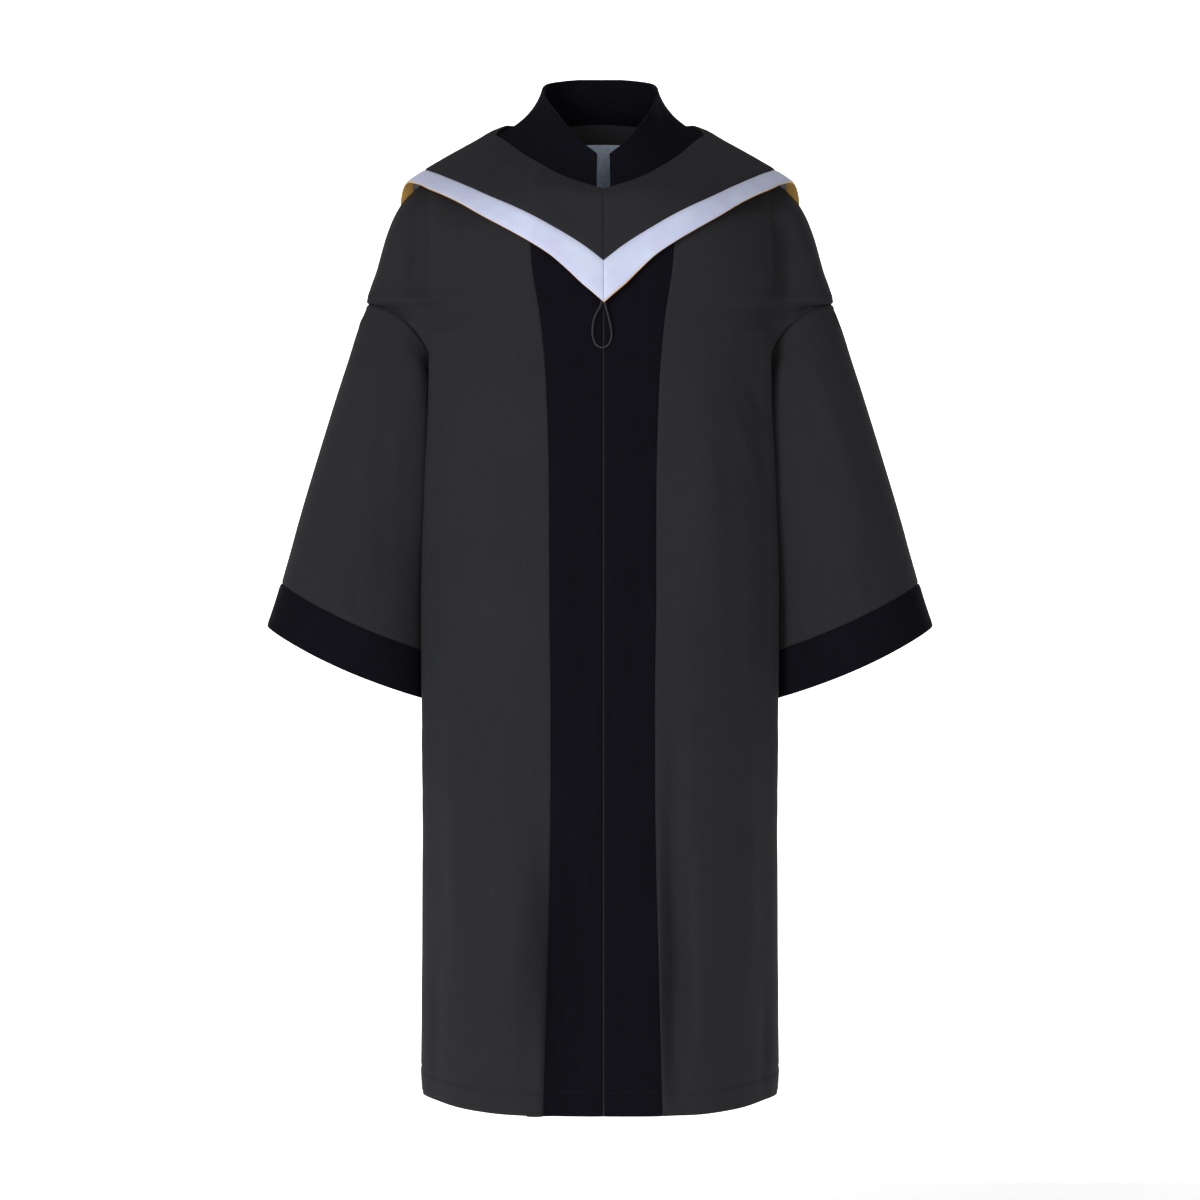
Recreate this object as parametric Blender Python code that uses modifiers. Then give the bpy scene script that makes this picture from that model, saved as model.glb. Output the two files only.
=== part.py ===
"""A graduation gown with a V-shaped hood, filled out as when worn.

Metres, +Z up. The front faces -Y, and the wearer's left is at +X. The origin is
inside the neck, level with the tops of the shoulders. Each piece that a maker
cuts is one wall of cloth between an outer and an inner grid of points.
"""

import math
from functools import lru_cache

import bpy
import bmesh
from mathutils import Matrix, Vector
from mathutils.bvhtree import BVHTree

CLOTH = 0.0015
VELVET = 0.002
COLLAR = 0.003
SATIN = 0.0012
LABEL = 0.001
TAPE = 0.0008
SEAM = 0.0003

SIDE_Y = 0.010
FRONT_SHIFT = 0.004
FRONT_SHIFT_REACH = 0.2
FRONT_SHIFT_DEPTH = 0.05
FRONT_POWER = 3.9
SIDE_RISE_POWER = 1.8

UNDERARM = 7
ARMHOLE_TOP = 8
NECK = 14
# Angles of the sleeve's points: 0 is its outer side, 90 its front and 180 its inner side.
HALF_RING = (0, 32, 60, 84, 106, 126, 145, 163, 180)
RING_ANGLES = HALF_RING + tuple(360 - angle for angle in reversed(HALF_RING[1:-1]))

# Half sections of the body from the hem up. The front runs from its middle to a
# soft corner, and from there past a valley and a bulge to the side seam or the
# shoulder seam (edge_x, edge_z). In the armhole the edge follows the sleeve.
SECTION_COLUMNS = (
    "front_z", "back_z", "front", "back", "band",
    "corner_x", "corner_y", "valley", "bulge", "edge_x", "edge_z",
)
SECTIONS = (
    ("hem", -1.149, -1.149, 0.171, 0.178, 0.0680, 0.2110, -0.035, 0.000, 0.002, 0.2140, -1.149),
    ("low", -1.000, -1.000, 0.168, 0.174, 0.0640, 0.2105, -0.036, 0.000, 0.002, 0.2135, -1.000),
    ("shin", -0.850, -0.850, 0.164, 0.170, 0.0600, 0.2105, -0.040, 0.000, 0.002, 0.2120, -0.850),
    ("below cuff", -0.770, -0.770, 0.161, 0.166, 0.0590, 0.2105, -0.050, 0.000, 0.000, 0.2040, -0.770),
    ("cuff edge", -0.695, -0.695, 0.157, 0.161, 0.0590, 0.2105, -0.058, 0.006, 0.000, 0.1880, -0.695),
    ("thigh", -0.560, -0.560, 0.152, 0.155, 0.0605, 0.2100, -0.060, 0.006, 0.000, 0.1860, -0.560),
    ("waist", -0.430, -0.430, 0.147, 0.150, 0.0610, 0.2070, -0.062, 0.006, -0.002, 0.1850, -0.430),
    ("underarm", -0.306, -0.306, 0.140, 0.142, 0.0650, 0.2015, -0.064, 0.004, -0.004, 0.1900, -0.306),
    ("armhole top", -0.222, -0.215, 0.133, 0.138, 0.0740, 0.2000, -0.070, -0.002, 0.0155, 0.2790, -0.208),
    ("upper arm", -0.206, -0.180, 0.131, 0.138, 0.0770, 0.1990, -0.072, 0.003, 0.0155, 0.2680, -0.165),
    ("shoulder end", -0.190, -0.145, 0.130, 0.135, 0.0800, 0.1950, -0.070, 0.004, 0.013, 0.2550, -0.120),
    ("shoulder", -0.165, -0.110, 0.127, 0.132, 0.0820, 0.1900, -0.070, 0.003, 0.010, 0.2410, -0.090),
    ("collarbone", -0.140, -0.075, 0.124, 0.121, 0.0830, 0.1700, -0.065, 0.000, 0.006, 0.2150, -0.062),
    ("below neck", -0.115, -0.035, 0.120, 0.108, 0.0840, 0.1400, -0.060, 0.000, 0.006, 0.1750, -0.034),
    ("neck", -0.095, 0.025, 0.118, 0.090, 0.0850, 0.1050, -0.050, 0.000, 0.004, 0.1350, -0.009),
)
VALLEY_AT = 0.27
BULGE_AT = 0.72
FULL_CHORD = 0.11
ARMHOLE_FOLLOW = 0.03
ARMHOLE_FOLLOW_START = 3
BACK_EDGE_POWER = 4
NORMAL_STEP = 0.012
NORMAL_RISE = 0.04
ARMHOLE_NORMAL_PART = 0.97
SHARP_ANGLE = 50
KEY_STEPS = (0.0, 0.3, 0.55, 0.75, 0.9, 1.0)
SAMPLES_PER_KEY = 14

# Soft folds that hang down the body: a distance along the row from the band's
# edge (front) or a fraction of the half row (back), half width, depth, and the
# heights where each one starts and is at its deepest.
FRONT_FOLDS = ((0.017, 0.017, -0.009, -0.700, -1.080),)
BACK_FOLDS = (
    (0.18, 0.10, -0.007, -0.42, -1.05),
    (0.45, 0.11, -0.008, -0.35, -1.00),
    (0.72, 0.10, -0.006, -0.55, -1.08),
)

# Places of the rows of points, as numbers of sections from the hem up.
LOW_PLACES = (0, 1, 2, 3, 4, 5, 6)
HIGH_PLACES = (9, 10, 11, 12, 13, 14)
PANEL_COLUMNS = (0.0, 0.03, 0.08, 0.13, 0.2, 0.3, 0.42, 0.54, 0.66, 0.76, 0.86, 0.93, 1.0)
BAND_COLUMNS = (0.0, 0.2, 0.6, 1.0)
BACK_COLUMNS = (0.0, 0.09, 0.18, 0.27, 0.36, 0.45, 0.54, 0.63, 0.72, 0.81, 0.89, 0.95, 1.0)

# Sleeve rings from the armhole to the cuff's edge: the outer and inner side in
# the front view, the depth to the front and back, and the upward bow between.
SLEEVE_COLUMNS = ("outer_x", "outer_z", "inner_x", "inner_z", "front", "back", "bow")
SLEEVE = (
    ("armhole", 0.279, -0.208, 0.1900, -0.306, 0.058, 0.052, 0.0190),
    ("high", 0.291, -0.240, 0.1915, -0.335, 0.064, 0.061, 0.0150),
    ("upper", 0.303, -0.277, 0.1925, -0.372, 0.069, 0.069, 0.0100),
    ("elbow", 0.326, -0.348, 0.1930, -0.443, 0.078, 0.080, 0.0040),
    ("lower", 0.353, -0.438, 0.1932, -0.530, 0.087, 0.089, -0.0020),
    ("cuff seam", 0.383, -0.544, 0.1930, -0.630, 0.093, 0.096, -0.0050),
    ("cuff edge", 0.400, -0.595, 0.1940, -0.686, 0.095, 0.098, -0.0060),
)
CUFF_SEAM = 5
CUFF_EDGE = 6
SLEEVE_PLACES = (0, 0.35, 0.7, 1.1, 1.6, 2.2, 3, 3.7, 4.4)
CUFF_PLACE_LENGTH = 0.054
SEAM_STEP = SEAM / 2 / CUFF_PLACE_LENGTH
CUFF_PROUD = 0.001
BOW_DIRECTION = (-0.68, 0.73)
BOW_POWER = 2.3
SLEEVE_FOLD_IN = 0.7
SLEEVE_FOLD_OUT = 1.5
# Sleeve folds: angle round the ring, half width, height, first and last place.
SLEEVE_FOLDS = (
    (108, 24, 0.005, 0.3, 4.2),
    (137, 22, -0.004, 0.3, 4.4),
    (252, 30, 0.004, 0.3, 4.0),
    (222, 24, -0.004, 0.3, 4.4),
)

# The collar's top edge by the fraction of the half neckline, from front to back.
COLLAR_SLOT = 0.0055
COLLAR_TOP = (
    (0.00, 0.0055, -0.083, -0.0425),
    (0.12, 0.0200, -0.075, -0.0270),
    (0.27, 0.0470, -0.050, 0.0047),
    (0.42, 0.0660, -0.012, 0.0340),
    (0.50, 0.0700, 0.010, 0.0500),
    (0.60, 0.0660, 0.032, 0.0610),
    (0.75, 0.0470, 0.056, 0.0700),
    (0.88, 0.0240, 0.067, 0.0740),
    (1.00, 0.0000, 0.070, 0.0745),
)
COLLAR_STEPS = 4
COLLAR_BEND_ACROSS = 0.18
COLLAR_BEND_UP = 0.32
FORM_LAP = 0.002
FORM_ROWS = 80
FORM_ROW_STEP = 0.1
FORM_COLUMNS = 48

# Lines of the hood in the front view, as distance from the middle and height.
HOOD_NECK_FRONT_Z = -0.087
HOOD_NECK_SIDE_X = 0.127
HOOD_NECK_SIDE_Z = -0.0036
HOOD_NECK_BACK_Z = 0.033
BAND_INNER_LINE = (
    (0.0, -0.1756), (0.0274, -0.1544), (0.0549, -0.1370), (0.0826, -0.1212), (0.1105, -0.1071),
    (0.1390, -0.0923), (0.1677, -0.0749), (0.1975, -0.0590), (0.2135, -0.0520), (0.2400, -0.0500),
)
BAND_OUTER_LINE = (
    (0.0, -0.2236), (0.0274, -0.1996), (0.0549, -0.1725), (0.0826, -0.1533), (0.1105, -0.1370),
    (0.1390, -0.1200), (0.1677, -0.1017), (0.1975, -0.0842), (0.2135, -0.0755), (0.2300, -0.0710),
    (0.2450, -0.0800), (0.2600, -0.0920),
)
BACK_INNER_TIP = -0.300
BACK_OUTER_TIP = -0.345
BACK_LINE_POWER = 1.08
INNER_SHOULDER = (0.2135, -0.052)
OUTER_SHOULDER = (0.2450, -0.080)
HOOD_ANGLES = (
    0, 5, 10, 16, 23, 31, 40, 50, 60, 69, 77, 84, 90, 96, 103, 111, 121, 132, 143, 153, 162, 171, 180,
)
HOOD_LEVELS = (0.0, 0.03, 0.09, 0.2, 0.36, 0.55, 0.78)
HOOD_STEPS = len(HOOD_LEVELS)
BAND_STEPS = 2
HOOD_CLEARANCE_NECK = 0.0024
HOOD_CLEARANCE_EDGE = 0.0070
HOOD_CLEARANCE_TIP = 0.0030
TIP_REACH = 20
BESIDE_SEAM = 0.05
LINE_ROUNDS = 60
LINE_STEP = 0.35
NORMAL_ROUNDS = 2
# How far the gold lining shows past the band, by angle, on the right and left.
LINING_SHOWS = (
    (0, 0.0013), (12, 0.0013), (25, 0.0002), (86, 0.0002), (94, 0.0060), (103, 0.0060), (112, 0.0004),
    (180, 0.0004),
)
LINING_FRONT_ANGLE = 60

ZIP_GAP = 0.0016
ZIP_WIDTH = 0.024
ZIP_BOTTOM_PLACE = 0.1
SLIDER_SIZE = (0.0075, 0.0020, 0.0110)
SLIDER_Z = -0.116
SLIDER_SEAT = 0.0005
SLIDER_BEVEL = 0.0006
LABEL_HALF_WIDTH = 0.033
LABEL_TOP_Z = 0.0
LABEL_BOTTOM_Z = -0.060

LOOP_DIAMETER = 0.0022
# The loop's cord from one end to the other: across, out from the velvet, up.
LOOP_ROUTE = (
    (0.0022, 0.0050, -0.2185), (0.0004, 0.0045, -0.2275), (-0.0040, 0.0035, -0.2350),
    (-0.0073, 0.0027, -0.2440), (-0.0085, 0.0020, -0.2530), (-0.0081, 0.0014, -0.2630),
    (-0.0040, 0.0008, -0.2722), (0.0024, 0.0004, -0.2752), (0.0090, 0.0008, -0.2722),
    (0.0130, 0.0014, -0.2630), (0.0126, 0.0020, -0.2530), (0.0106, 0.0027, -0.2440),
    (0.0084, 0.0035, -0.2350), (0.0062, 0.0045, -0.2275), (0.0052, 0.0050, -0.2185),
)
LOOP_POINTS = 30

CHARCOAL_COLOUR = (0.024, 0.025, 0.027)
VELVET_COLOUR = (0.005, 0.005, 0.008)
SATIN_COLOUR = (0.60, 0.62, 0.78)
GOLD_COLOUR = (0.72, 0.42, 0.10)
LABEL_COLOUR = (0.07, 0.09, 0.11)
TAPE_COLOUR = (0.02, 0.02, 0.022)
CLOTH_ROUGHNESS = 0.85
VELVET_ROUGHNESS = 0.95
SATIN_ROUGHNESS = 0.45
GOLD_ROUGHNESS = 0.40
LABEL_ROUGHNESS = 0.80
TAPE_ROUGHNESS = 0.70
SLIDER_ROUGHNESS = 0.40
CORD_ROUGHNESS = 0.60


def clear_scene():
    """Start from an empty scene."""
    for thing in list(bpy.data.objects):
        bpy.data.objects.remove(thing, do_unlink=True)


def clamp(value):
    return max(0.0, min(1.0, value))


def ease(value):
    """A smooth step from 0 to 1."""
    value = clamp(value)
    return value * value * (3 - 2 * value)


def bump(distance, half_width):
    """A rounded bump, 1 in its middle and 0 past its half width."""
    if abs(distance) >= half_width:
        return 0.0
    return (1 + math.cos(math.pi * distance / half_width)) / 2


def read_table(rows, key):
    """Read a table at a key between its rows, smoothly. A row is its key and its values."""
    last = len(rows) - 1
    i = 0
    while i < last - 1 and key > rows[i + 1][0]:
        i += 1

    def slope(k, column):
        return (rows[k + 1][column] - rows[k][column]) / (rows[k + 1][0] - rows[k][0])

    def tangent(k, column):
        before = slope(max(k - 1, 0), column)
        after = slope(min(k, last - 1), column)
        if before * after <= 0:
            return 0.0 if 0 < k < last else before
        return 2 * before * after / (before + after)

    span = rows[i + 1][0] - rows[i][0]
    u = (key - rows[i][0]) / span
    values = []
    for column in range(1, len(rows[0])):
        start, end = rows[i][column], rows[i + 1][column]
        bend = (2 * u ** 3 - 3 * u ** 2 + 1) * start + (3 * u ** 2 - 2 * u ** 3) * end
        lean = (u ** 3 - 2 * u ** 2 + u) * tangent(i, column) + (u ** 3 - u ** 2) * tangent(i + 1, column)
        values.append(bend + lean * span)
    return values


def numbered(table):
    """The table's rows with their numbers in place of their names, as keys."""
    return [(number,) + tuple(row[1:]) for number, row in enumerate(table)]


SECTION_ROWS = numbered(SECTIONS)
SLEEVE_ROWS = numbered(SLEEVE)


def section(place):
    return dict(zip(SECTION_COLUMNS, read_table(SECTION_ROWS, place)))


def ring_point(place, angle):
    """A point of the sleeve: angle 0 is its outer side, 90 its front and 180 its inner side."""
    ring = dict(zip(SLEEVE_COLUMNS, read_table(SLEEVE_ROWS, place)))
    turn = math.radians(angle)
    across = (1 - math.cos(turn)) / 2
    bow = ring["bow"] * abs(math.sin(turn)) ** BOW_POWER
    depth = ring["front"] if math.sin(turn) > 0 else ring["back"]
    x = ring["outer_x"] + (ring["inner_x"] - ring["outer_x"]) * across + BOW_DIRECTION[0] * bow
    z = ring["outer_z"] + (ring["inner_z"] - ring["outer_z"]) * across + BOW_DIRECTION[1] * bow
    return Vector((x, SIDE_Y - depth * math.sin(turn), z))


def armhole_angle(place):
    """Where a row of the body ends round the armhole, or None where it ends at a seam."""
    if UNDERARM < place < ARMHOLE_TOP:
        return 180.0 * (1 - (place - UNDERARM))
    return None


def soft_curve(keys, first_direction, last_direction):
    """Points of a smooth curve through keys of uneven spacing."""
    lengths = [(b - a).length for a, b in zip(keys, keys[1:])]
    slopes = [(b - a) / length for a, b, length in zip(keys, keys[1:], lengths)]
    tangents = [first_direction]
    for i in range(1, len(keys) - 1):
        total = lengths[i - 1] + lengths[i]
        tangents.append((slopes[i] * lengths[i - 1] + slopes[i - 1] * lengths[i]) / total)
    tangents.append(last_direction)
    points = [keys[0].copy()]
    for i, length in enumerate(lengths):
        for step in range(1, SAMPLES_PER_KEY + 1):
            u = step / SAMPLES_PER_KEY
            point = keys[i] * (2 * u ** 3 - 3 * u ** 2 + 1) + keys[i + 1] * (3 * u ** 2 - 2 * u ** 3)
            point += tangents[i] * length * (u ** 3 - 2 * u ** 2 + u)
            point += tangents[i + 1] * length * (u ** 3 - u ** 2)
            points.append(point)
    return points


def fold_depth(face, part, length, band, height):
    """How far the hanging folds move a point of the body out or in."""
    total = 0.0
    if face == "front":
        for middle, half_width, depth, start, full in FRONT_FOLDS:
            ramp = ease((height - start) / (full - start))
            total += depth * ramp * bump(part * length - band - middle, half_width)
    else:
        for middle, half_width, depth, start, full in BACK_FOLDS:
            ramp = ease((height - start) / (full - start))
            total += depth * ramp * bump(part - middle, half_width)
    return total


def armhole_top_y(x):
    """How far forward the row at the armhole's top is, at a distance from the middle past its corner."""
    row = body_row("front", ARMHOLE_TOP)[0]
    for before, after in zip(row, row[1:]):
        if after.x >= x:
            return before.y + (after.y - before.y) * (x - before.x) / (after.x - before.x)
    return row[-1].y


def follow_armhole_top(points, width):
    """Lay the points past the corner along the row at the armhole's top, with their own end kept."""
    start = points[0].x
    miss = points[-1].y - armhole_top_y(points[-1].x)
    follow = ease(width / ARMHOLE_FOLLOW)
    for point in points:
        along = clamp((point.x - start) / width)
        target = armhole_top_y(point.x) + miss * along ** 2
        point.y += (target - point.y) * follow * ease(along * ARMHOLE_FOLLOW_START)


@lru_cache(None)
def body_row(face, place):
    """Points of a half row of the body from its middle to its edge, with their fractions."""
    size = section(place)
    corner = Vector((size["corner_x"], size["corner_y"]))
    rise = size["front"] + size["corner_y"]
    keys = [Vector((corner.x * u, rise * u ** FRONT_POWER - size["front"])) for u in KEY_STEPS]
    angle = armhole_angle(place)
    edge = Vector((size["edge_x"], SIDE_Y))
    edge_z = size["edge_z"]
    edge_back_y = SIDE_Y
    openness = 0.0
    if angle is not None:
        ring_front = ring_point(0, angle)
        edge = Vector((ring_front.x, ring_front.y))
        edge_z = ring_front.z
        edge_back_y = ring_point(0, -angle).y
        openness = math.sin(math.radians(angle))
    chord = edge - corner
    outward = Vector((chord.y, -chord.x)).normalized()
    scale = min(1.0, chord.length / FULL_CHORD)
    keys.append(corner + chord * VALLEY_AT - outward * size["valley"] * scale)
    keys.append(corner + chord * BULGE_AT + outward * size["bulge"] * scale)
    keys.append(edge)
    end_direction = Vector((0, 1)).lerp((edge - keys[-2]).normalized(), openness).normalized()
    points = soft_curve(keys, Vector((1, 0)), end_direction)
    if angle is not None and chord.x > 0:
        follow_armhole_top(points[SAMPLES_PER_KEY * (len(KEY_STEPS) - 1):], chord.x)
    middle_z = size["front_z"]
    if face == "back":
        ratio = (size["back"] - SIDE_Y) / (size["front"] + SIDE_Y)
        miss = edge_back_y - (SIDE_Y + (SIDE_Y - points[-1].y) * ratio)
        middle_z = size["back_z"]
        last = len(points) - 1
        mirrored = []
        for i, p in enumerate(points):
            closing = miss * (i / last) ** BACK_EDGE_POWER
            mirrored.append(Vector((p.x, SIDE_Y + (SIDE_Y - p.y) * ratio + closing)))
        points = mirrored
    runs = [0.0]
    for a, b in zip(points, points[1:]):
        runs.append(runs[-1] + (b - a).length)
    length = runs[-1]
    parts = [run / length for run in runs]
    row = []
    for i, point in enumerate(points):
        along = points[min(i + 1, len(points) - 1)] - points[max(i - 1, 0)]
        out = Vector((along.y, -along.x)).normalized()
        if face == "back":
            out = -out
        height = middle_z + (edge_z - middle_z) * parts[i] ** SIDE_RISE_POWER
        point = point + out * fold_depth(face, parts[i], length, size["band"], height)
        row.append(Vector((point.x, point.y, height)))
    return row, parts, length


def body_point(face, place, part):
    """The outside of the body at a place up it and a fraction of the half row."""
    row, parts, _ = body_row(face, round(place, 5))
    part = clamp(part)
    low, high = 0, len(parts) - 1
    while high - low > 1:
        half = (low + high) // 2
        if parts[half] <= part:
            low = half
        else:
            high = half
    return row[low].lerp(row[high], (part - parts[low]) / (parts[high] - parts[low]))


def body_normal(face, place, part):
    """The outward direction of the body's surface."""
    if armhole_angle(place) is not None:
        part = min(part, ARMHOLE_NORMAL_PART)
    step = NORMAL_STEP
    rise = NORMAL_RISE
    along = body_point(face, place, part + step) - body_point(face, place, part - step)
    up = body_point(face, min(place + rise, NECK), part) - body_point(face, max(place - rise, 0), part)
    out = along.cross(up) if face == "front" else up.cross(along)
    if part >= 0.999:
        out.y = 0.0
    if part <= 0.001:
        out.x = 0.0
    return out.normalized()


def part_at_x(face, place, x):
    """The fraction of a half row where it is x from the middle."""
    row, parts, _ = body_row(face, round(place, 5))
    for i in range(1, len(row)):
        if row[i].x >= x:
            return parts[i - 1] + (parts[i] - parts[i - 1]) * (x - row[i - 1].x) / (row[i].x - row[i - 1].x)
    return 1.0


def place_at_height(face, height):
    """The place up the middle of the back or front at a height."""
    low, high = 0.0, float(NECK)
    for _ in range(40):
        half = (low + high) / 2
        if body_point(face, half, 0.0).z < height:
            low = half
        else:
            high = half
    return (low + high) / 2


def settle(point, side=1):
    """Mirror a point to its side. The middle of the front lies a little to the wearer's left."""
    x = point.x * side
    front = clamp((SIDE_Y - point.y) / FRONT_SHIFT_DEPTH)
    middle = max(0.0, 1 - (x / FRONT_SHIFT_REACH) ** 2)
    return Vector((x + FRONT_SHIFT * middle ** 2 * front, point.y, point.z))


def material(name, colour, roughness):
    found = bpy.data.materials.new(name)
    found.use_nodes = True
    shader = found.node_tree.nodes["Principled BSDF"]
    shader.inputs["Base Color"].default_value = (*colour, 1.0)
    shader.inputs["Roughness"].default_value = roughness
    shader.inputs["Metallic"].default_value = 0.0
    return found


def finish(thing, collection, colour, roughness):
    """Put a piece in its collection with a material of its own."""
    collection.objects.link(thing)
    thing.data.materials.append(material(thing.name, colour, roughness))
    return thing


def wall(name, outer, inner, ring=False):
    """Close two matching grids of points into one wall of cloth.

    A ring joins its last column to its first. Each square is halved across its shorter
    diagonal, the same way outside and inside.
    """
    bm = bmesh.new()
    skins = [[[bm.verts.new(point) for point in row] for row in grid] for grid in (outer, inner)]
    rows = len(outer)
    columns = len(outer[0])
    last = columns if ring else columns - 1
    for i in range(rows - 1):
        for j in range(last):
            corners = [(i, j), (i, (j + 1) % columns), (i + 1, (j + 1) % columns), (i + 1, j)]
            a, b, c, d = (outer[k][m] for k, m in corners)
            if (b - d).length < (a - c).length:
                corners = corners[1:] + corners[:1]
            for skin in skins:
                a, b, c, d = (skin[k][m] for k, m in corners)
                bm.faces.new((a, b, c))
                bm.faces.new((a, c, d))
    rims = []
    for i in (0, rows - 1):
        rims += [((i, j), (i, (j + 1) % columns)) for j in range(last)]
    if not ring:
        for j in (0, columns - 1):
            rims += [((i, j), (i + 1, j)) for i in range(rows - 1)]
    for (i, j), (k, m) in rims:
        bm.faces.new((skins[0][i][j], skins[0][k][m], skins[1][k][m]))
        bm.faces.new((skins[0][i][j], skins[1][k][m], skins[1][i][j]))
    bmesh.ops.recalc_face_normals(bm, faces=bm.faces)
    mesh = bpy.data.meshes.new(name)
    bm.to_mesh(mesh)
    bm.free()
    mesh.shade_smooth()
    mesh.set_sharp_from_angle(angle=math.radians(SHARP_ANGLE))
    return bpy.data.objects.new(name, mesh)


def grid_normals(grid, ring=False):
    """Outward directions of a grid whose rows run down.

    Its columns run from the front round +X, or, on a ring, from its outer side round the front.
    """
    rows, columns = len(grid), len(grid[0])
    normals = []
    for i in range(rows):
        line = []
        for j in range(columns):
            if ring:
                along = grid[i][j - 1] - grid[i][(j + 1) % columns]
            else:
                along = grid[i][min(j + 1, columns - 1)] - grid[i][max(j - 1, 0)]
            down = grid[min(i + 1, rows - 1)][j] - grid[max(i - 1, 0)][j]
            line.append(down.cross(along).normalized())
        normals.append(line)
    return normals


def armhole_places():
    return tuple(ARMHOLE_TOP - angle / 180 for angle in HALF_RING)


def label_places():
    return place_at_height("back", LABEL_BOTTOM_Z), place_at_height("back", LABEL_TOP_Z)


def body_places():
    """The rows of every panel of the body, from the hem to the neck."""
    return tuple(sorted(LOW_PLACES + armhole_places() + HIGH_PLACES + label_places()))


def strip(face, side, columns, first, last, thickness):
    """Outer and inner points of a panel between two fractions of each row."""
    outer, inner = [], []
    for place in body_places():
        start, end = first(place), last(place)
        outer_row, inner_row = [], []
        for column in columns:
            part = start + (end - start) * column
            point = body_point(face, place, part)
            out = body_normal(face, place, part)
            outer_row.append(settle(point, side))
            inner_row.append(settle(point - out * thickness, side))
        outer.append(outer_row)
        inner.append(inner_row)
    return outer, inner


def seam_part(face, place):
    """Half a seam's gap as a fraction of a row."""
    return SEAM / 2 / body_row(face, round(place, 5))[2]


def edge_part(face, place):
    """Where a panel ends: short of a seam, or at the armhole."""
    if armhole_angle(place) is not None:
        return 1.0
    return 1.0 - seam_part(face, place)


def band_part(place):
    return part_at_x("front", place, section(place)["band"])


def make_front(name, side):
    outer, inner = strip("front", side, PANEL_COLUMNS,
                         lambda place: band_part(place) + seam_part("front", place),
                         lambda place: edge_part("front", place), CLOTH)
    return wall(name, outer, inner)


def make_band(name, side):
    outer, inner = strip("front", side, BAND_COLUMNS, lambda place: part_at_x("front", place, ZIP_GAP / 2),
                         lambda place: band_part(place) - seam_part("front", place), VELVET)
    return wall(name, outer, inner)


def back_grids():
    """The back's outer and inner points, from the wearer's right to their left."""
    grids = []
    for side in (-1, 1):
        grids.append(strip("back", side, BACK_COLUMNS, lambda place: 0.0,
                           lambda place: edge_part("back", place), CLOTH))
    (right_outer, right_inner), (left_outer, left_inner) = grids
    outer = [list(reversed(right))[:-1] + left for right, left in zip(right_outer, left_outer)]
    inner = [list(reversed(right))[:-1] + left for right, left in zip(right_inner, left_inner)]
    return outer, inner


def armhole_loop():
    """The body's armhole edge and its outward directions, from its top round the front."""
    loop = []
    for angle in RING_ANGLES:
        face = "front" if angle <= 180 else "back"
        place = ARMHOLE_TOP - min(angle, 360 - angle) / 180
        point = body_point(face, place, 1.0)
        loop.append((point, body_normal(face, place, 1.0)))
    return loop


def sleeve_grid():
    """The sleeve's and cuff's surface in rings from the armhole down, before any thickness."""
    places = SLEEVE_PLACES + (CUFF_SEAM - SEAM_STEP, CUFF_SEAM + SEAM_STEP, CUFF_SEAM + 0.5, CUFF_EDGE)
    grid = []
    for place in places:
        grid.append([ring_point(place, angle) for angle in RING_ANGLES])
    loop = armhole_loop()
    for k, (point, out) in enumerate(loop):
        along = loop[(k + 1) % len(loop)][0] - loop[k - 1][0]
        away = out.cross(along).normalized()
        grid[0][k] = point + (away + out) * SEAM
    normals = grid_normals(grid, ring=True)
    for i, place in enumerate(places):
        for k, angle in enumerate(RING_ANGLES):
            for middle, half_width, height, start, end in SLEEVE_FOLDS:
                ramp = ease((place - start) / SLEEVE_FOLD_IN) * ease((end - place) / SLEEVE_FOLD_OUT)
                rise = height * ramp * bump(angle - middle, half_width)
                grid[i][k] = grid[i][k] + normals[i][k] * rise
    return grid, grid_normals(grid, ring=True)


def make_sleeve_and_cuff(sleeve_name, cuff_name, side):
    grid, normals = sleeve_grid()
    count = len(SLEEVE_PLACES) + 1

    def layer(first, last, proud):
        return [[settle(p + n * proud, side) for p, n in zip(row, row_normals)]
                for row, row_normals in zip(grid[first:last], normals[first:last])]

    sleeve = wall(sleeve_name, layer(0, count, 0.0), layer(0, count, -CLOTH), ring=True)
    cuff = wall(cuff_name, layer(count, None, CUFF_PROUD), layer(count, None, CUFF_PROUD - VELVET), ring=True)
    return sleeve, cuff


def neckline_columns():
    """Faces and fractions along the half neckline, from the front slot to the back."""
    columns = []
    start = part_at_x("front", NECK, COLLAR_SLOT)
    band_start = part_at_x("front", NECK, ZIP_GAP / 2)
    band_end = band_part(NECK) - seam_part("front", NECK)
    for column in BAND_COLUMNS:
        columns.append(("front", band_start + (band_end - band_start) * column))
    panel_start = band_part(NECK) + seam_part("front", NECK)
    panel_end = edge_part("front", NECK)
    for column in PANEL_COLUMNS[1:]:
        columns.append(("front", panel_start + (panel_end - panel_start) * column))
    columns[0] = ("front", start)
    back_end = edge_part("back", NECK)
    for column in reversed(BACK_COLUMNS):
        columns.append(("back", back_end * column))
    return columns


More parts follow.
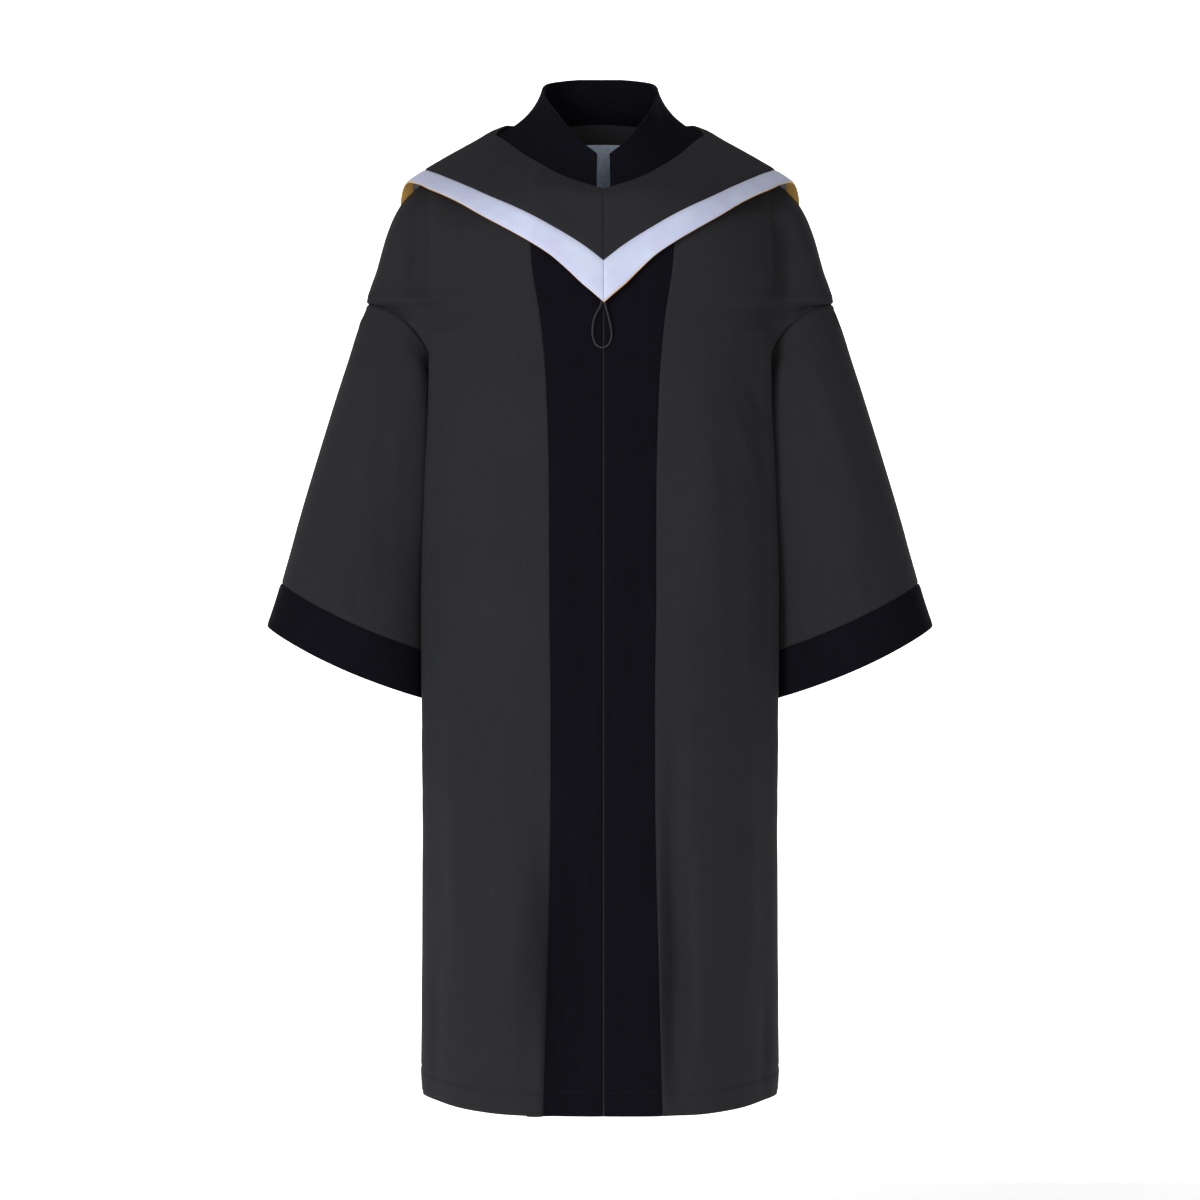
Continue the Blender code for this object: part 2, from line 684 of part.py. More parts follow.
def collar_half(slot=True):
    """Outer points and outward directions of half the collar, as rows from the neckline up.

    Without its slot it is whole in front and laps the body, as a form for the hood.
    """
    columns = neckline_columns()
    if not slot:
        columns = [("front", 0.0)] + columns[1:]
    front_length = body_row("front", NECK)[2]
    back_length = body_row("back", NECK)[2]
    whole = front_length + back_length
    rows = [[] for _ in range(COLLAR_STEPS + 1)]
    for face, part in columns:
        run = part * front_length if face == "front" else front_length + (1 - part) * back_length
        base = body_point(face, NECK, part)
        out = body_normal(face, NECK, part)
        up = (base - body_point(face, NECK - 0.1, part)).normalized()
        base = base + out * SEAM + up * (SEAM if slot else -FORM_LAP)
        start_run = COLLAR_SLOT if slot else 0.0
        top = Vector(read_table(COLLAR_TOP, clamp((run - start_run) / (whole - start_run))))
        if not slot and run == 0:
            top.x = 0.0
        bend = top.lerp(base, COLLAR_BEND_ACROSS)
        bend.z = base.z + (top.z - base.z) * COLLAR_BEND_UP
        for step in range(COLLAR_STEPS + 1):
            u = step / COLLAR_STEPS
            rows[step].append(base * (1 - u) ** 2 + bend * 2 * u * (1 - u) + top * u ** 2)
    normals = [[-n for n in row] for row in grid_normals(rows)]
    for j, (face, part) in enumerate(columns):
        normals[0][j] = body_normal(face, NECK, part)
    for row in normals:
        row[-1].x = 0.0
        row[-1].normalize()
    return rows, normals


def make_collar(name):
    rows, normals = collar_half()
    outer, inner = [], []
    for points, directions in zip(rows, normals):
        under = [p - n * COLLAR for p, n in zip(points, directions)]
        outer.append([settle(p, -1) for p in points] + [settle(p, 1) for p in reversed(points[:-1])])
        inner.append([settle(p, -1) for p in under] + [settle(p, 1) for p in reversed(under[:-1])])
    return wall(name, outer, inner)


def form_tree():
    """The whole outside of the body and collar as one surface, which the hood is laid on."""
    points, faces = [], []

    def add(grid):
        start = len(points)
        width = len(grid[0])
        for row in grid:
            points.extend(row)
        for i in range(len(grid) - 1):
            for j in range(width - 1):
                a = start + i * width + j
                faces.append((a, a + 1, a + width + 1, a + width))

    places = [NECK - FORM_ROW_STEP * k for k in range(FORM_ROWS + 1)]
    places.reverse()
    parts = [k / FORM_COLUMNS for k in range(FORM_COLUMNS + 1)]
    for face in ("front", "back"):
        for side in (-1, 1):
            grid = []
            for place in places:
                half_row = [body_point(face, place, part) for part in parts]
                grid.append([Vector((p.x * side, p.y, p.z)) for p in half_row])
            add(grid)
    rows, _ = collar_half(slot=False)
    for side in (-1, 1):
        add([[Vector((p.x * side, p.y, p.z)) for p in row] for row in rows])
    return BVHTree.FromPolygons(points, faces)


def shoulder_line(x, tip, shoulder):
    """The height of the back's V line at a distance from the middle."""
    return tip + (shoulder[1] - tip) * (x / shoulder[0]) ** BACK_LINE_POWER


def hood_line(line, angle, x):
    """The height of one of the hood's three lines at a distance from the middle."""
    if line == "neck":
        side = (x / HOOD_NECK_SIDE_X) ** 2
        middle = HOOD_NECK_FRONT_Z if angle <= 90 else HOOD_NECK_BACK_Z
        return middle + (HOOD_NECK_SIDE_Z - middle) * side
    if line == "inner":
        if angle <= 90:
            return read_table(BAND_INNER_LINE, x)[0]
        return shoulder_line(x, BACK_INNER_TIP, INNER_SHOULDER)
    if angle <= 90:
        return read_table(BAND_OUTER_LINE, x)[0]
    return shoulder_line(x, BACK_OUTER_TIP, OUTER_SHOULDER)


def cast(tree, angle, height):
    """The farthest distance from the middle axis to the form, at an angle and a height."""
    turn = math.radians(min(angle + BESIDE_SEAM, 180 - BESIDE_SEAM))
    direction = Vector((math.sin(turn), -math.cos(turn), 0.0))
    far = Vector((0.0, SIDE_Y, height)) + direction
    hit = tree.ray_cast(far, -direction)[0]
    return (hit - Vector((0.0, SIDE_Y, height))).length


def height_on_line(tree, line, angle):
    """The height where one of the hood's lines crosses an angle."""
    sideways = math.sin(math.radians(angle))
    guess = HOOD_NECK_SIDE_X if line == "neck" else OUTER_SHOULDER[0]
    height = hood_line(line, angle, guess * sideways)
    for _ in range(LINE_ROUNDS):
        reach = cast(tree, angle, height) * sideways
        height += LINE_STEP * (hood_line(line, angle, reach) - height)
    return height


def hood_surface():
    """The hood's inner surface and outward directions, in rows from the neckline down."""
    tree = form_tree()
    steps = HOOD_STEPS + BAND_STEPS
    columns = []
    for angle in HOOD_ANGLES:
        neck = height_on_line(tree, "neck", angle)
        inner = height_on_line(tree, "inner", angle)
        outer = height_on_line(tree, "outer", angle)
        heights = [neck + (inner - neck) * level for level in HOOD_LEVELS]
        heights += [inner + (outer - inner) * i / BAND_STEPS for i in range(BAND_STEPS + 1)]
        columns.append([(cast(tree, angle, height), height) for height in heights])
    bridged = []
    for i in range(steps + 1):
        line = []
        for j in range(len(columns)):
            near = [columns[max(j - 1, 0)][i][0], columns[min(j + 1, len(columns) - 1)][i][0]]
            line.append(max(columns[j][i][0], sum(near) / 2))
        bridged.append(line)
    grid = []
    for i in range(steps + 1):
        line = []
        for j, angle in enumerate(HOOD_ANGLES):
            turn = math.radians(angle)
            reach = bridged[i][j]
            line.append(Vector((reach * math.sin(turn), SIDE_Y - reach * math.cos(turn), columns[j][i][1])))
        grid.append(line)
    normals = grid_normals(grid)
    for _ in range(NORMAL_ROUNDS):
        rounder = []
        for i in range(steps + 1):
            line = []
            for j in range(len(HOOD_ANGLES)):
                around = [normals[max(i - 1, 0)][j], normals[min(i + 1, steps)][j],
                          normals[i][max(j - 1, 0)], normals[i][min(j + 1, len(HOOD_ANGLES) - 1)]]
                line.append((normals[i][j] * 2 + sum(around, Vector())).normalized())
            rounder.append(line)
        normals = rounder
    for i in range(steps + 1):
        for j in (0, -1):
            normals[i][j].x = 0.0
            normals[i][j].normalize()
        down = i / steps
        for j, angle in enumerate(HOOD_ANGLES):
            clear = HOOD_CLEARANCE_NECK + (HOOD_CLEARANCE_EDGE - HOOD_CLEARANCE_NECK) * down
            clear += HOOD_CLEARANCE_TIP * down ** 2 * bump(angle, TIP_REACH)
            grid[i][j] = grid[i][j] + normals[i][j] * clear
            grid[i][j].x = max(grid[i][j].x, SEAM / 2)
    return grid, normals


def shorten(grid, row, towards, distance):
    """A row of a grid moved a small distance towards another row."""
    return [a + (b - a).normalized() * distance for a, b in zip(grid[row], grid[towards])]


def make_hood(grid, normals, side, end):
    """One side of the hood, its band and its lining."""
    pieces = []
    hood_rows = grid[:HOOD_STEPS] + [shorten(grid, HOOD_STEPS, HOOD_STEPS - 1, SEAM / 2)]
    band_rows = [shorten(grid, HOOD_STEPS, HOOD_STEPS + 1, SEAM / 2)] + grid[HOOD_STEPS + 1:]
    for name, rows, directions, thickness in (
            ("hood_" + end, hood_rows, normals[:HOOD_STEPS + 1], CLOTH),
            ("hood_band_" + end, band_rows, normals[HOOD_STEPS:], SATIN)):
        inner = [[settle(p, side) for p in row] for row in rows]
        outer = []
        for row, line in zip(rows, directions):
            outer.append([settle(p + n * thickness, side) for p, n in zip(row, line)])
        pieces.append(wall(name, outer, inner))
    lining, under = [[], [], []], [[], [], []]
    last = len(grid) - 1
    for j, angle in enumerate(HOOD_ANGLES):
        edge, above = grid[last][j], grid[last - 1][j]
        shows = read_table(LINING_SHOWS, angle)[0]
        if side < 0 and angle < LINING_FRONT_ANGLE:
            shows = min(shows, LINING_SHOWS[2][1])
        below = edge + (edge - above).normalized() * shows
        spots = ((above, normals[last - 1][j]), (edge, normals[last][j]), (below, normals[last][j]))
        for i, (spot, out) in enumerate(spots):
            lining[i].append(settle(spot - out * SEAM, side))
            under[i].append(settle(spot - out * (SEAM + SATIN), side))
    pieces.append(wall("hood_lining_" + end, lining, under))
    return pieces


def make_zip_tape(name):
    """The zip's tape behind the velvet bands, from near the hem to the neck."""
    half = ZIP_WIDTH / 2
    outer, inner = [], []
    places = [place for place in body_places() if place > ZIP_BOTTOM_PLACE and place < NECK]
    for place in [ZIP_BOTTOM_PLACE] + places + [NECK]:
        outer_row, inner_row = [], []
        for x in (-half, 0.0, half):
            part = part_at_x("front", place, abs(x)) if x else 0.0
            point = body_point("front", place, part)
            out = body_normal("front", place, part)
            side = -1 if x < 0 else 1
            outer_row.append(settle(point - out * (VELVET + SEAM), side))
            inner_row.append(settle(point - out * (VELVET + SEAM + TAPE), side))
        outer.append(outer_row)
        inner.append(inner_row)
    return wall(name, outer, inner)


def make_slider(name):
    """The zip's slider, on the front of the velvet bands' slot just under the hood."""
    place = place_at_height("front", SLIDER_Z)
    point = body_point("front", place, 0.0)
    out = body_normal("front", place, 0.0)
    bpy.ops.mesh.primitive_cube_add(size=1.0)
    slider = bpy.context.object
    for holder in list(slider.users_collection):
        holder.objects.unlink(slider)
    slider.name = name
    slider.data.name = name
    slider.data.transform(Matrix.Diagonal((*SLIDER_SIZE, 1.0)))
    slider.location = settle(point + out * (SLIDER_SEAT + SLIDER_SIZE[1] / 2))
    slider.rotation_euler.x = -math.atan2(out.z, -out.y)
    bevel = slider.modifiers.new("Bevel", "BEVEL")
    bevel.width = SLIDER_BEVEL
    bevel.segments = 2
    return slider


def make_loop(name):
    """The hood's thin cord loop, which hangs from under the V's tip onto the velvet."""
    keys = []
    for x, out, z in LOOP_ROUTE:
        front = body_point("front", place_at_height("front", z), 0.0)
        keys.append(Vector((x, front.y - LOOP_DIAMETER / 2 - out, z)))
    ends = [(keys[1] - keys[0]).normalized(), (keys[-1] - keys[-2]).normalized()]
    fine = soft_curve(keys, ends[0], ends[1])
    runs = [0.0]
    for a, b in zip(fine, fine[1:]):
        runs.append(runs[-1] + (b - a).length)
    curve = bpy.data.curves.new(name, "CURVE")
    curve.dimensions = "3D"
    curve.bevel_depth = LOOP_DIAMETER / 2
    curve.bevel_resolution = 2
    curve.render_resolution_u = 0
    curve.use_fill_caps = True
    spline = curve.splines.new("POLY")
    spline.points.add(LOOP_POINTS - 1)
    at = 0
    for k, spot in enumerate(spline.points):
        run = runs[-1] * k / (LOOP_POINTS - 1)
        while at < len(runs) - 2 and runs[at + 1] < run:
            at += 1
        point = fine[at].lerp(fine[at + 1], (run - runs[at]) / (runs[at + 1] - runs[at]))
        spot.co = (*point, 1.0)
    return bpy.data.objects.new(name, curve)


def make_label(name, back_outer, back_inner):
    """The woven label on the inside of the back, made from the back's own points."""
    places = body_places()
    bottom, top = label_places()
    middle = len(back_inner[0]) // 2
    outer, inner = [], []
    for place, outside, inside in zip(places, back_outer, back_inner):
        if place < bottom or place > top:
            continue
        near = inside[middle + 1].x
        outer_row, inner_row = [], []
        for x in (-LABEL_HALF_WIDTH, -near, 0.0, near, LABEL_HALF_WIDTH):
            step = 1 if x >= 0 else -1
            j = middle
            while abs(inside[j + step].x) < abs(x):
                j += step
            u = (x - inside[j].x) / (inside[j + step].x - inside[j].x)
            face = inside[j].lerp(inside[j + step], u)
            out = (outside[j].lerp(outside[j + step], u) - face).normalized()
            outer_row.append(face - out * SEAM)
            inner_row.append(face - out * (SEAM + LABEL))
        outer.append(outer_row)
        inner.append(inner_row)
    return wall(name, outer, inner)


def main():
    clear_scene()
    gown = bpy.data.collections.new("graduation_gown")
    bpy.context.scene.collection.children.link(gown)
    hood_grid, hood_normals = hood_surface()
    for side, end in ((1, "left"), (-1, "right")):
        finish(make_front("front_" + end, side), gown, CHARCOAL_COLOUR, CLOTH_ROUGHNESS)
        finish(make_band("band_" + end, side), gown, VELVET_COLOUR, VELVET_ROUGHNESS)
        sleeve, cuff = make_sleeve_and_cuff("sleeve_" + end, "cuff_" + end, side)
        finish(sleeve, gown, CHARCOAL_COLOUR, CLOTH_ROUGHNESS)
        finish(cuff, gown, VELVET_COLOUR, VELVET_ROUGHNESS)
        hood, band, lining = make_hood(hood_grid, hood_normals, side, end)
        finish(hood, gown, CHARCOAL_COLOUR, CLOTH_ROUGHNESS)
        finish(band, gown, SATIN_COLOUR, SATIN_ROUGHNESS)
        finish(lining, gown, GOLD_COLOUR, GOLD_ROUGHNESS)
    back_outer, back_inner = back_grids()
    finish(wall("back", back_outer, back_inner), gown, CHARCOAL_COLOUR, CLOTH_ROUGHNESS)
    finish(make_collar("collar"), gown, VELVET_COLOUR, VELVET_ROUGHNESS)
    finish(make_label("label", back_outer, back_inner), gown, LABEL_COLOUR, LABEL_ROUGHNESS)
    finish(make_zip_tape("zip_tape"), gown, TAPE_COLOUR, TAPE_ROUGHNESS)
    finish(make_slider("zip_slider"), gown, TAPE_COLOUR, SLIDER_ROUGHNESS)
    finish(make_loop("hood_loop"), gown, TAPE_COLOUR, CORD_ROUGHNESS)


if __name__ == "__main__":
    main()
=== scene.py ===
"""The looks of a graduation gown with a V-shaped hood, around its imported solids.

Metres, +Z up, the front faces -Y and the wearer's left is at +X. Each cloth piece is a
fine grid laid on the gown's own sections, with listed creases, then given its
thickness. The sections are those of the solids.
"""

import math
from functools import lru_cache

import bmesh
import bpy
from bpy.props import FloatProperty, FloatVectorProperty, PointerProperty
from mathutils import Matrix, Vector, noise
from mathutils.bvhtree import BVHTree


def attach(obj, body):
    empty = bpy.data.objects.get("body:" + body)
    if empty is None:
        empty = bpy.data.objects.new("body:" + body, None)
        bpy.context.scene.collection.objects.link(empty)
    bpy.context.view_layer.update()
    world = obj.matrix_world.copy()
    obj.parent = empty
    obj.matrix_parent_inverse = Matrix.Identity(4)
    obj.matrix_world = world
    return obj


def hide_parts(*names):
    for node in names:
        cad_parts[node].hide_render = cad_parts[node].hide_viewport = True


bl_info = {
    "name": "Graduation gown",
    "version": (1, 0, 0),
    "blender": (4, 5, 0),
    "location": "3D View > Sidebar > Gown",
    "description": "Builds the cloth, velvet, satin and trim of a graduation gown",
    "category": "Add Mesh",
}

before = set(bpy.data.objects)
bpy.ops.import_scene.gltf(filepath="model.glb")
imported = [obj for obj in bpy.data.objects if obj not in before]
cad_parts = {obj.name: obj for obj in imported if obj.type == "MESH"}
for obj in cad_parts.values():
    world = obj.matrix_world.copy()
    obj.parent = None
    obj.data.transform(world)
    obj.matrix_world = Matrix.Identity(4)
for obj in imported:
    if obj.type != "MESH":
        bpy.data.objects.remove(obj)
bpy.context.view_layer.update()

# Thickness of each cloth, and the gap of a seam.
CLOTH = 0.0015
VELVET = 0.002
COLLAR = 0.003
SATIN = 0.0012
LABEL = 0.001
TAPE = 0.0008
SEAM = 0.0003

# The two sides of the gown, by their direction across.
ENDS = ((1, "left"), (-1, "right"))
WHITE = (1.0, 1.0, 1.0)

# The plane of the side seams, and how far the middle of the front lies to the wearer's left.
SIDE_Y = 0.010
FRONT_SHIFT = 0.004
FRONT_SHIFT_REACH = 0.2
FRONT_SHIFT_DEPTH = 0.05

# How flat the middle of the front is, and how late a row rises towards its side.
FRONT_POWER = 3.9
SIDE_RISE_POWER = 1.8

# Sections by number, and how finely a place between two of them is kept and looked for.
UNDERARM = 7
ARMHOLE_TOP = 8
NECK = 14
PLACE_DIGITS = 5
HALVINGS = 40

# Half sections of the body from the hem up. The front runs from its middle to a
# soft corner, and from there past a valley and a bulge to the side seam or the
# shoulder seam (edge_x, edge_z). In the armhole the edge follows the sleeve.
SECTION_COLUMNS = (
    "front_z", "back_z", "front", "back", "band",
    "corner_x", "corner_y", "valley", "bulge", "edge_x", "edge_z",
)
SECTIONS = (
    ("hem", -1.149, -1.149, 0.171, 0.178, 0.0680, 0.2110, -0.035, 0.000, 0.002, 0.2140, -1.149),
    ("low", -1.000, -1.000, 0.168, 0.174, 0.0640, 0.2105, -0.036, 0.000, 0.002, 0.2135, -1.000),
    ("shin", -0.850, -0.850, 0.164, 0.170, 0.0600, 0.2105, -0.040, 0.000, 0.002, 0.2120, -0.850),
    ("below cuff", -0.770, -0.770, 0.161, 0.166, 0.0590, 0.2105, -0.050, 0.000, 0.000, 0.2040, -0.770),
    ("cuff edge", -0.695, -0.695, 0.157, 0.161, 0.0590, 0.2105, -0.058, 0.006, 0.000, 0.1880, -0.695),
    ("thigh", -0.560, -0.560, 0.152, 0.155, 0.0605, 0.2100, -0.060, 0.006, 0.000, 0.1860, -0.560),
    ("waist", -0.430, -0.430, 0.147, 0.150, 0.0610, 0.2070, -0.062, 0.006, -0.002, 0.1850, -0.430),
    ("underarm", -0.306, -0.306, 0.140, 0.142, 0.0650, 0.2015, -0.064, 0.004, -0.004, 0.1900, -0.306),
    ("armhole top", -0.222, -0.215, 0.133, 0.138, 0.0740, 0.2000, -0.070, -0.002, 0.0155, 0.2790, -0.208),
    ("upper arm", -0.206, -0.180, 0.131, 0.138, 0.0770, 0.1990, -0.072, 0.003, 0.0155, 0.2680, -0.165),
    ("shoulder end", -0.190, -0.145, 0.130, 0.135, 0.0800, 0.1950, -0.070, 0.004, 0.013, 0.2550, -0.120),
    ("shoulder", -0.165, -0.110, 0.127, 0.132, 0.0820, 0.1900, -0.070, 0.003, 0.010, 0.2410, -0.090),
    ("collarbone", -0.140, -0.075, 0.124, 0.121, 0.0830, 0.1700, -0.065, 0.000, 0.006, 0.2150, -0.062),
    ("below neck", -0.115, -0.035, 0.120, 0.108, 0.0840, 0.1400, -0.060, 0.000, 0.006, 0.1750, -0.034),
    ("neck", -0.095, 0.025, 0.118, 0.090, 0.0850, 0.1050, -0.050, 0.000, 0.004, 0.1350, -0.009),
)
# How a half section runs through its corner, valley and bulge, and how its directions are measured.
VALLEY_AT = 0.27
BULGE_AT = 0.72
FULL_CHORD = 0.11
ARMHOLE_FOLLOW = 0.03
ARMHOLE_FOLLOW_START = 3
BACK_EDGE_POWER = 4
NORMAL_STEP = 0.012
NORMAL_RISE = 0.04
END_PART = 0.001
ARMHOLE_NORMAL_PART = 0.97
KEY_STEPS = (0.0, 0.3, 0.55, 0.75, 0.9, 1.0)
SAMPLES_PER_KEY = 14

# Soft folds that hang down the body: a distance along the row from the band's
# edge (front) or a fraction of the half row (back), half width, depth, and the
# heights where each one starts and is at its deepest.
FRONT_FOLDS = ((0.017, 0.017, -0.009, -0.700, -1.080),)
BACK_FOLDS = (
    (0.18, 0.10, -0.007, -0.42, -1.05),
    (0.45, 0.11, -0.008, -0.35, -1.00),
    (0.72, 0.10, -0.006, -0.55, -1.08),
)

# Fractions across each panel where the neckline's points lie.
PANEL_COLUMNS = (0.0, 0.03, 0.08, 0.13, 0.2, 0.3, 0.42, 0.54, 0.66, 0.76, 0.86, 0.93, 1.0)
BAND_COLUMNS = (0.0, 0.2, 0.6, 1.0)
BACK_COLUMNS = (0.0, 0.09, 0.18, 0.27, 0.36, 0.45, 0.54, 0.63, 0.72, 0.81, 0.89, 0.95, 1.0)

# Sleeve rings from the armhole to the cuff's edge: the outer and inner side in
# the front view, the depth to the front and back, and the upward bow between.
SLEEVE_COLUMNS = ("outer_x", "outer_z", "inner_x", "inner_z", "front", "back", "bow")
SLEEVE = (
    ("armhole", 0.279, -0.208, 0.1900, -0.306, 0.058, 0.052, 0.0190),
    ("high", 0.291, -0.240, 0.1915, -0.335, 0.064, 0.061, 0.0150),
    ("upper", 0.303, -0.277, 0.1925, -0.372, 0.069, 0.069, 0.0100),
    ("elbow", 0.326, -0.348, 0.1930, -0.443, 0.078, 0.080, 0.0040),
    ("lower", 0.353, -0.438, 0.1932, -0.530, 0.087, 0.089, -0.0020),
    ("cuff seam", 0.383, -0.544, 0.1930, -0.630, 0.093, 0.096, -0.0050),
    ("cuff edge", 0.400, -0.595, 0.1940, -0.686, 0.095, 0.098, -0.0060),
)
# Where the cuff starts and ends, and how the rings take up the armhole's edge and bow.
CUFF_SEAM = 5
CUFF_EDGE = 6
SLEEVE_ROWS_DOWN = 56
ARMHOLE_FADE = 0.35
ARMHOLE_OWN = 0.3
ARMHOLE_BULGE = 0.0012
ARMHOLE_BULGE_AT = 0.11
CUFF_PLACE_LENGTH = 0.054
SEAM_STEP = SEAM / 2 / CUFF_PLACE_LENGTH
CUFF_PROUD = 0.001
BOW_DIRECTION = (-0.68, 0.73)
BOW_POWER = 2.3
SLEEVE_FOLD_IN = 0.7
SLEEVE_FOLD_OUT = 1.5

# Sleeve folds: angle round the ring, half width, height, first and last place.
SLEEVE_FOLDS = (
    (108, 24, 0.005, 0.3, 4.2),
    (146, 34, 0.006, 0.3, 4.6),
    (252, 30, 0.004, 0.3, 4.0),
    (222, 24, -0.004, 0.3, 4.4),
)

# Half the opening between the collar's ends.
COLLAR_SLOT = 0.0078
# The collar's top edge by the fraction of the half neckline, from front to back.
COLLAR_TOP = (
    (0.00, COLLAR_SLOT, -0.083, -0.0425),
    (0.12, 0.0258, -0.075, -0.0270),
    (0.27, 0.0500, -0.050, 0.0047),
    (0.42, 0.0660, -0.012, 0.0340),
    (0.50, 0.0700, 0.010, 0.0500),
    (0.60, 0.0660, 0.032, 0.0610),
    (0.75, 0.0470, 0.056, 0.0700),
    (0.88, 0.0240, 0.067, 0.0740),
    (1.00, 0.0000, 0.070, 0.0745),
)
COLLAR_STEPS = 4
COLLAR_BEND_ACROSS = 0.18
COLLAR_BEND_UP = 0.32
COLLAR_UP_STEP = 0.1
# The plain form of body and collar that the hood is laid on.
FORM_LAP = 0.002
FORM_ROWS = 80
FORM_ROW_STEP = 0.1
FORM_COLUMNS = 48

# The hood's neckline in the front view: it is straighter in front than behind, with a slight sag.
HOOD_NECK_FRONT_Z = -0.090
HOOD_NECK_POWER = 1.25
HOOD_NECK_BACK_POWER = 2
HOOD_NECK_SAG = 0.10
HOOD_NECK_SAG_AT = 0.5
HOOD_NECK_SIDE_X = 0.127
HOOD_NECK_SIDE_Z = -0.0036
HOOD_NECK_BACK_Z = 0.033
# The border's two lines in the front view, as distance from the middle and height.
BAND_INNER_LINE = (
    (0.0, -0.1756), (0.0274, -0.1544), (0.0549, -0.1370), (0.0826, -0.1212), (0.1105, -0.1071),
    (0.1390, -0.0923), (0.1677, -0.0749), (0.1975, -0.0590), (0.2135, -0.0520), (0.2400, -0.0500),
)
BAND_OUTER_LINE = (
    (0.0, -0.2236), (0.0274, -0.1996), (0.0549, -0.1725), (0.0826, -0.1533), (0.1105, -0.1370),
    (0.1390, -0.1200), (0.1677, -0.1017), (0.1975, -0.0842), (0.2135, -0.0755), (0.2300, -0.0710),
    (0.2450, -0.0800), (0.2600, -0.0920),
)
BACK_INNER_TIP = -0.300
BACK_OUTER_TIP = -0.345
BACK_LINE_POWER = 1.08
INNER_SHOULDER = (0.2135, -0.052)
OUTER_SHOULDER = (0.2450, -0.080)
HOOD_ANGLES = (
    0, 5, 10, 16, 23, 31, 40, 50, 60, 69, 77, 84, 90, 96, 103, 111, 121, 132, 143, 153, 162, 171, 180,
)
HOOD_LEVELS = (0.0, 0.03, 0.09, 0.2, 0.36, 0.55, 0.78)
HOOD_STEPS = len(HOOD_LEVELS)
BAND_STEPS = 2
HOOD_CLEARANCE_NECK = 0.0024
HOOD_CLEARANCE_EDGE = 0.0070
HOOD_CLEARANCE_TIP = 0.0030
TIP_REACH = 20
BESIDE_SEAM = 0.05
LINE_ROUNDS = 60
LINE_STEP = 0.35
NORMAL_ROUNDS = 2
# How far the gold lining shows past the border, by degrees round from the front. In front it shows on
# the wearer's left alone.
LINING_LEAST = 0.0002
LINING_SHOWS = (
    (0, 0.0013), (12, 0.0013), (25, LINING_LEAST), (86, LINING_LEAST), (95, 0.0030), (100, 0.0030),
    (107, 0.0004), (180, 0.0004),
)
LINING_FRONT_ANGLE = 60

# The zip, the label and the loop.
ZIP_GAP = 0.0016
ZIP_WIDTH = 0.024
LABEL_HALF_WIDTH = 0.033
LABEL_TOP_Z = 0.0
LABEL_BOTTOM_Z = -0.060
LABEL_ROWS = 16
LABEL_COLUMNS = 14
TAPE_COLUMNS = (-1.0, -0.5, -0.1, 0.0, 0.1, 0.5, 1.0)

LOOP_DIAMETER = 0.0022
# The loop's cord from one end to the other: across, out from the velvet, up.
LOOP_ROUTE = (
    (0.0022, 0.0050, -0.2185), (0.0004, 0.0045, -0.2275), (-0.0040, 0.0035, -0.2350),
    (-0.0073, 0.0027, -0.2440), (-0.0085, 0.0020, -0.2530), (-0.0081, 0.0014, -0.2630),
    (-0.0040, 0.0008, -0.2722), (0.0024, 0.0004, -0.2752), (0.0090, 0.0008, -0.2722),
    (0.0130, 0.0014, -0.2630), (0.0126, 0.0020, -0.2530), (0.0106, 0.0027, -0.2440),
    (0.0084, 0.0035, -0.2350), (0.0062, 0.0045, -0.2275), (0.0052, 0.0050, -0.2185),
)
LOOP_SAMPLES = 6


def clamp(value):
    """A value kept between 0 and 1."""
    return max(0.0, min(1.0, value))


def mirror(vector, side):
    """A vector mirrored to its side."""
    return Vector((vector.x * side, vector.y, vector.z))


def face_straight(row, ends=(0, -1)):
    """Turn the directions at a row's ends straight to the front or back."""
    for j in ends:
        row[j].x = 0.0
        row[j].normalize()


def ease(value):
    """A smooth step from 0 to 1."""
    value = clamp(value)
    return value * value * (3 - 2 * value)


def bump(distance, half_width):
    """A rounded bump, 1 in its middle and 0 past its half width."""
    if abs(distance) >= half_width:
        return 0.0
    return (1 + math.cos(math.pi * distance / half_width)) / 2


def read_table(rows, key):
    """Read a table at a key between its rows, smoothly. A row is its key and its values."""
    last = len(rows) - 1
    i = 0
    while i < last - 1 and key > rows[i + 1][0]:
        i += 1

    def slope(k, column):
        return (rows[k + 1][column] - rows[k][column]) / (rows[k + 1][0] - rows[k][0])

    def tangent(k, column):
        before = slope(max(k - 1, 0), column)
        after = slope(min(k, last - 1), column)
        if before * after <= 0:
            return 0.0 if 0 < k < last else before
        return 2 * before * after / (before + after)

    span = rows[i + 1][0] - rows[i][0]
    u = (key - rows[i][0]) / span
    values = []
    for column in range(1, len(rows[0])):
        start, end = rows[i][column], rows[i + 1][column]
        bend = (2 * u ** 3 - 3 * u ** 2 + 1) * start + (3 * u ** 2 - 2 * u ** 3) * end
        lean = (u ** 3 - 2 * u ** 2 + u) * tangent(i, column) + (u ** 3 - u ** 2) * tangent(i + 1, column)
        values.append(bend + lean * span)
    return values


def numbered(table):
    """The table's rows with their numbers in place of their names, as keys."""
    return [(number,) + tuple(row[1:]) for number, row in enumerate(table)]


SECTION_ROWS = numbered(SECTIONS)
SLEEVE_ROWS = numbered(SLEEVE)


def section(place):
    """The sizes of the body's section at a place up it."""
    return dict(zip(SECTION_COLUMNS, read_table(SECTION_ROWS, place)))


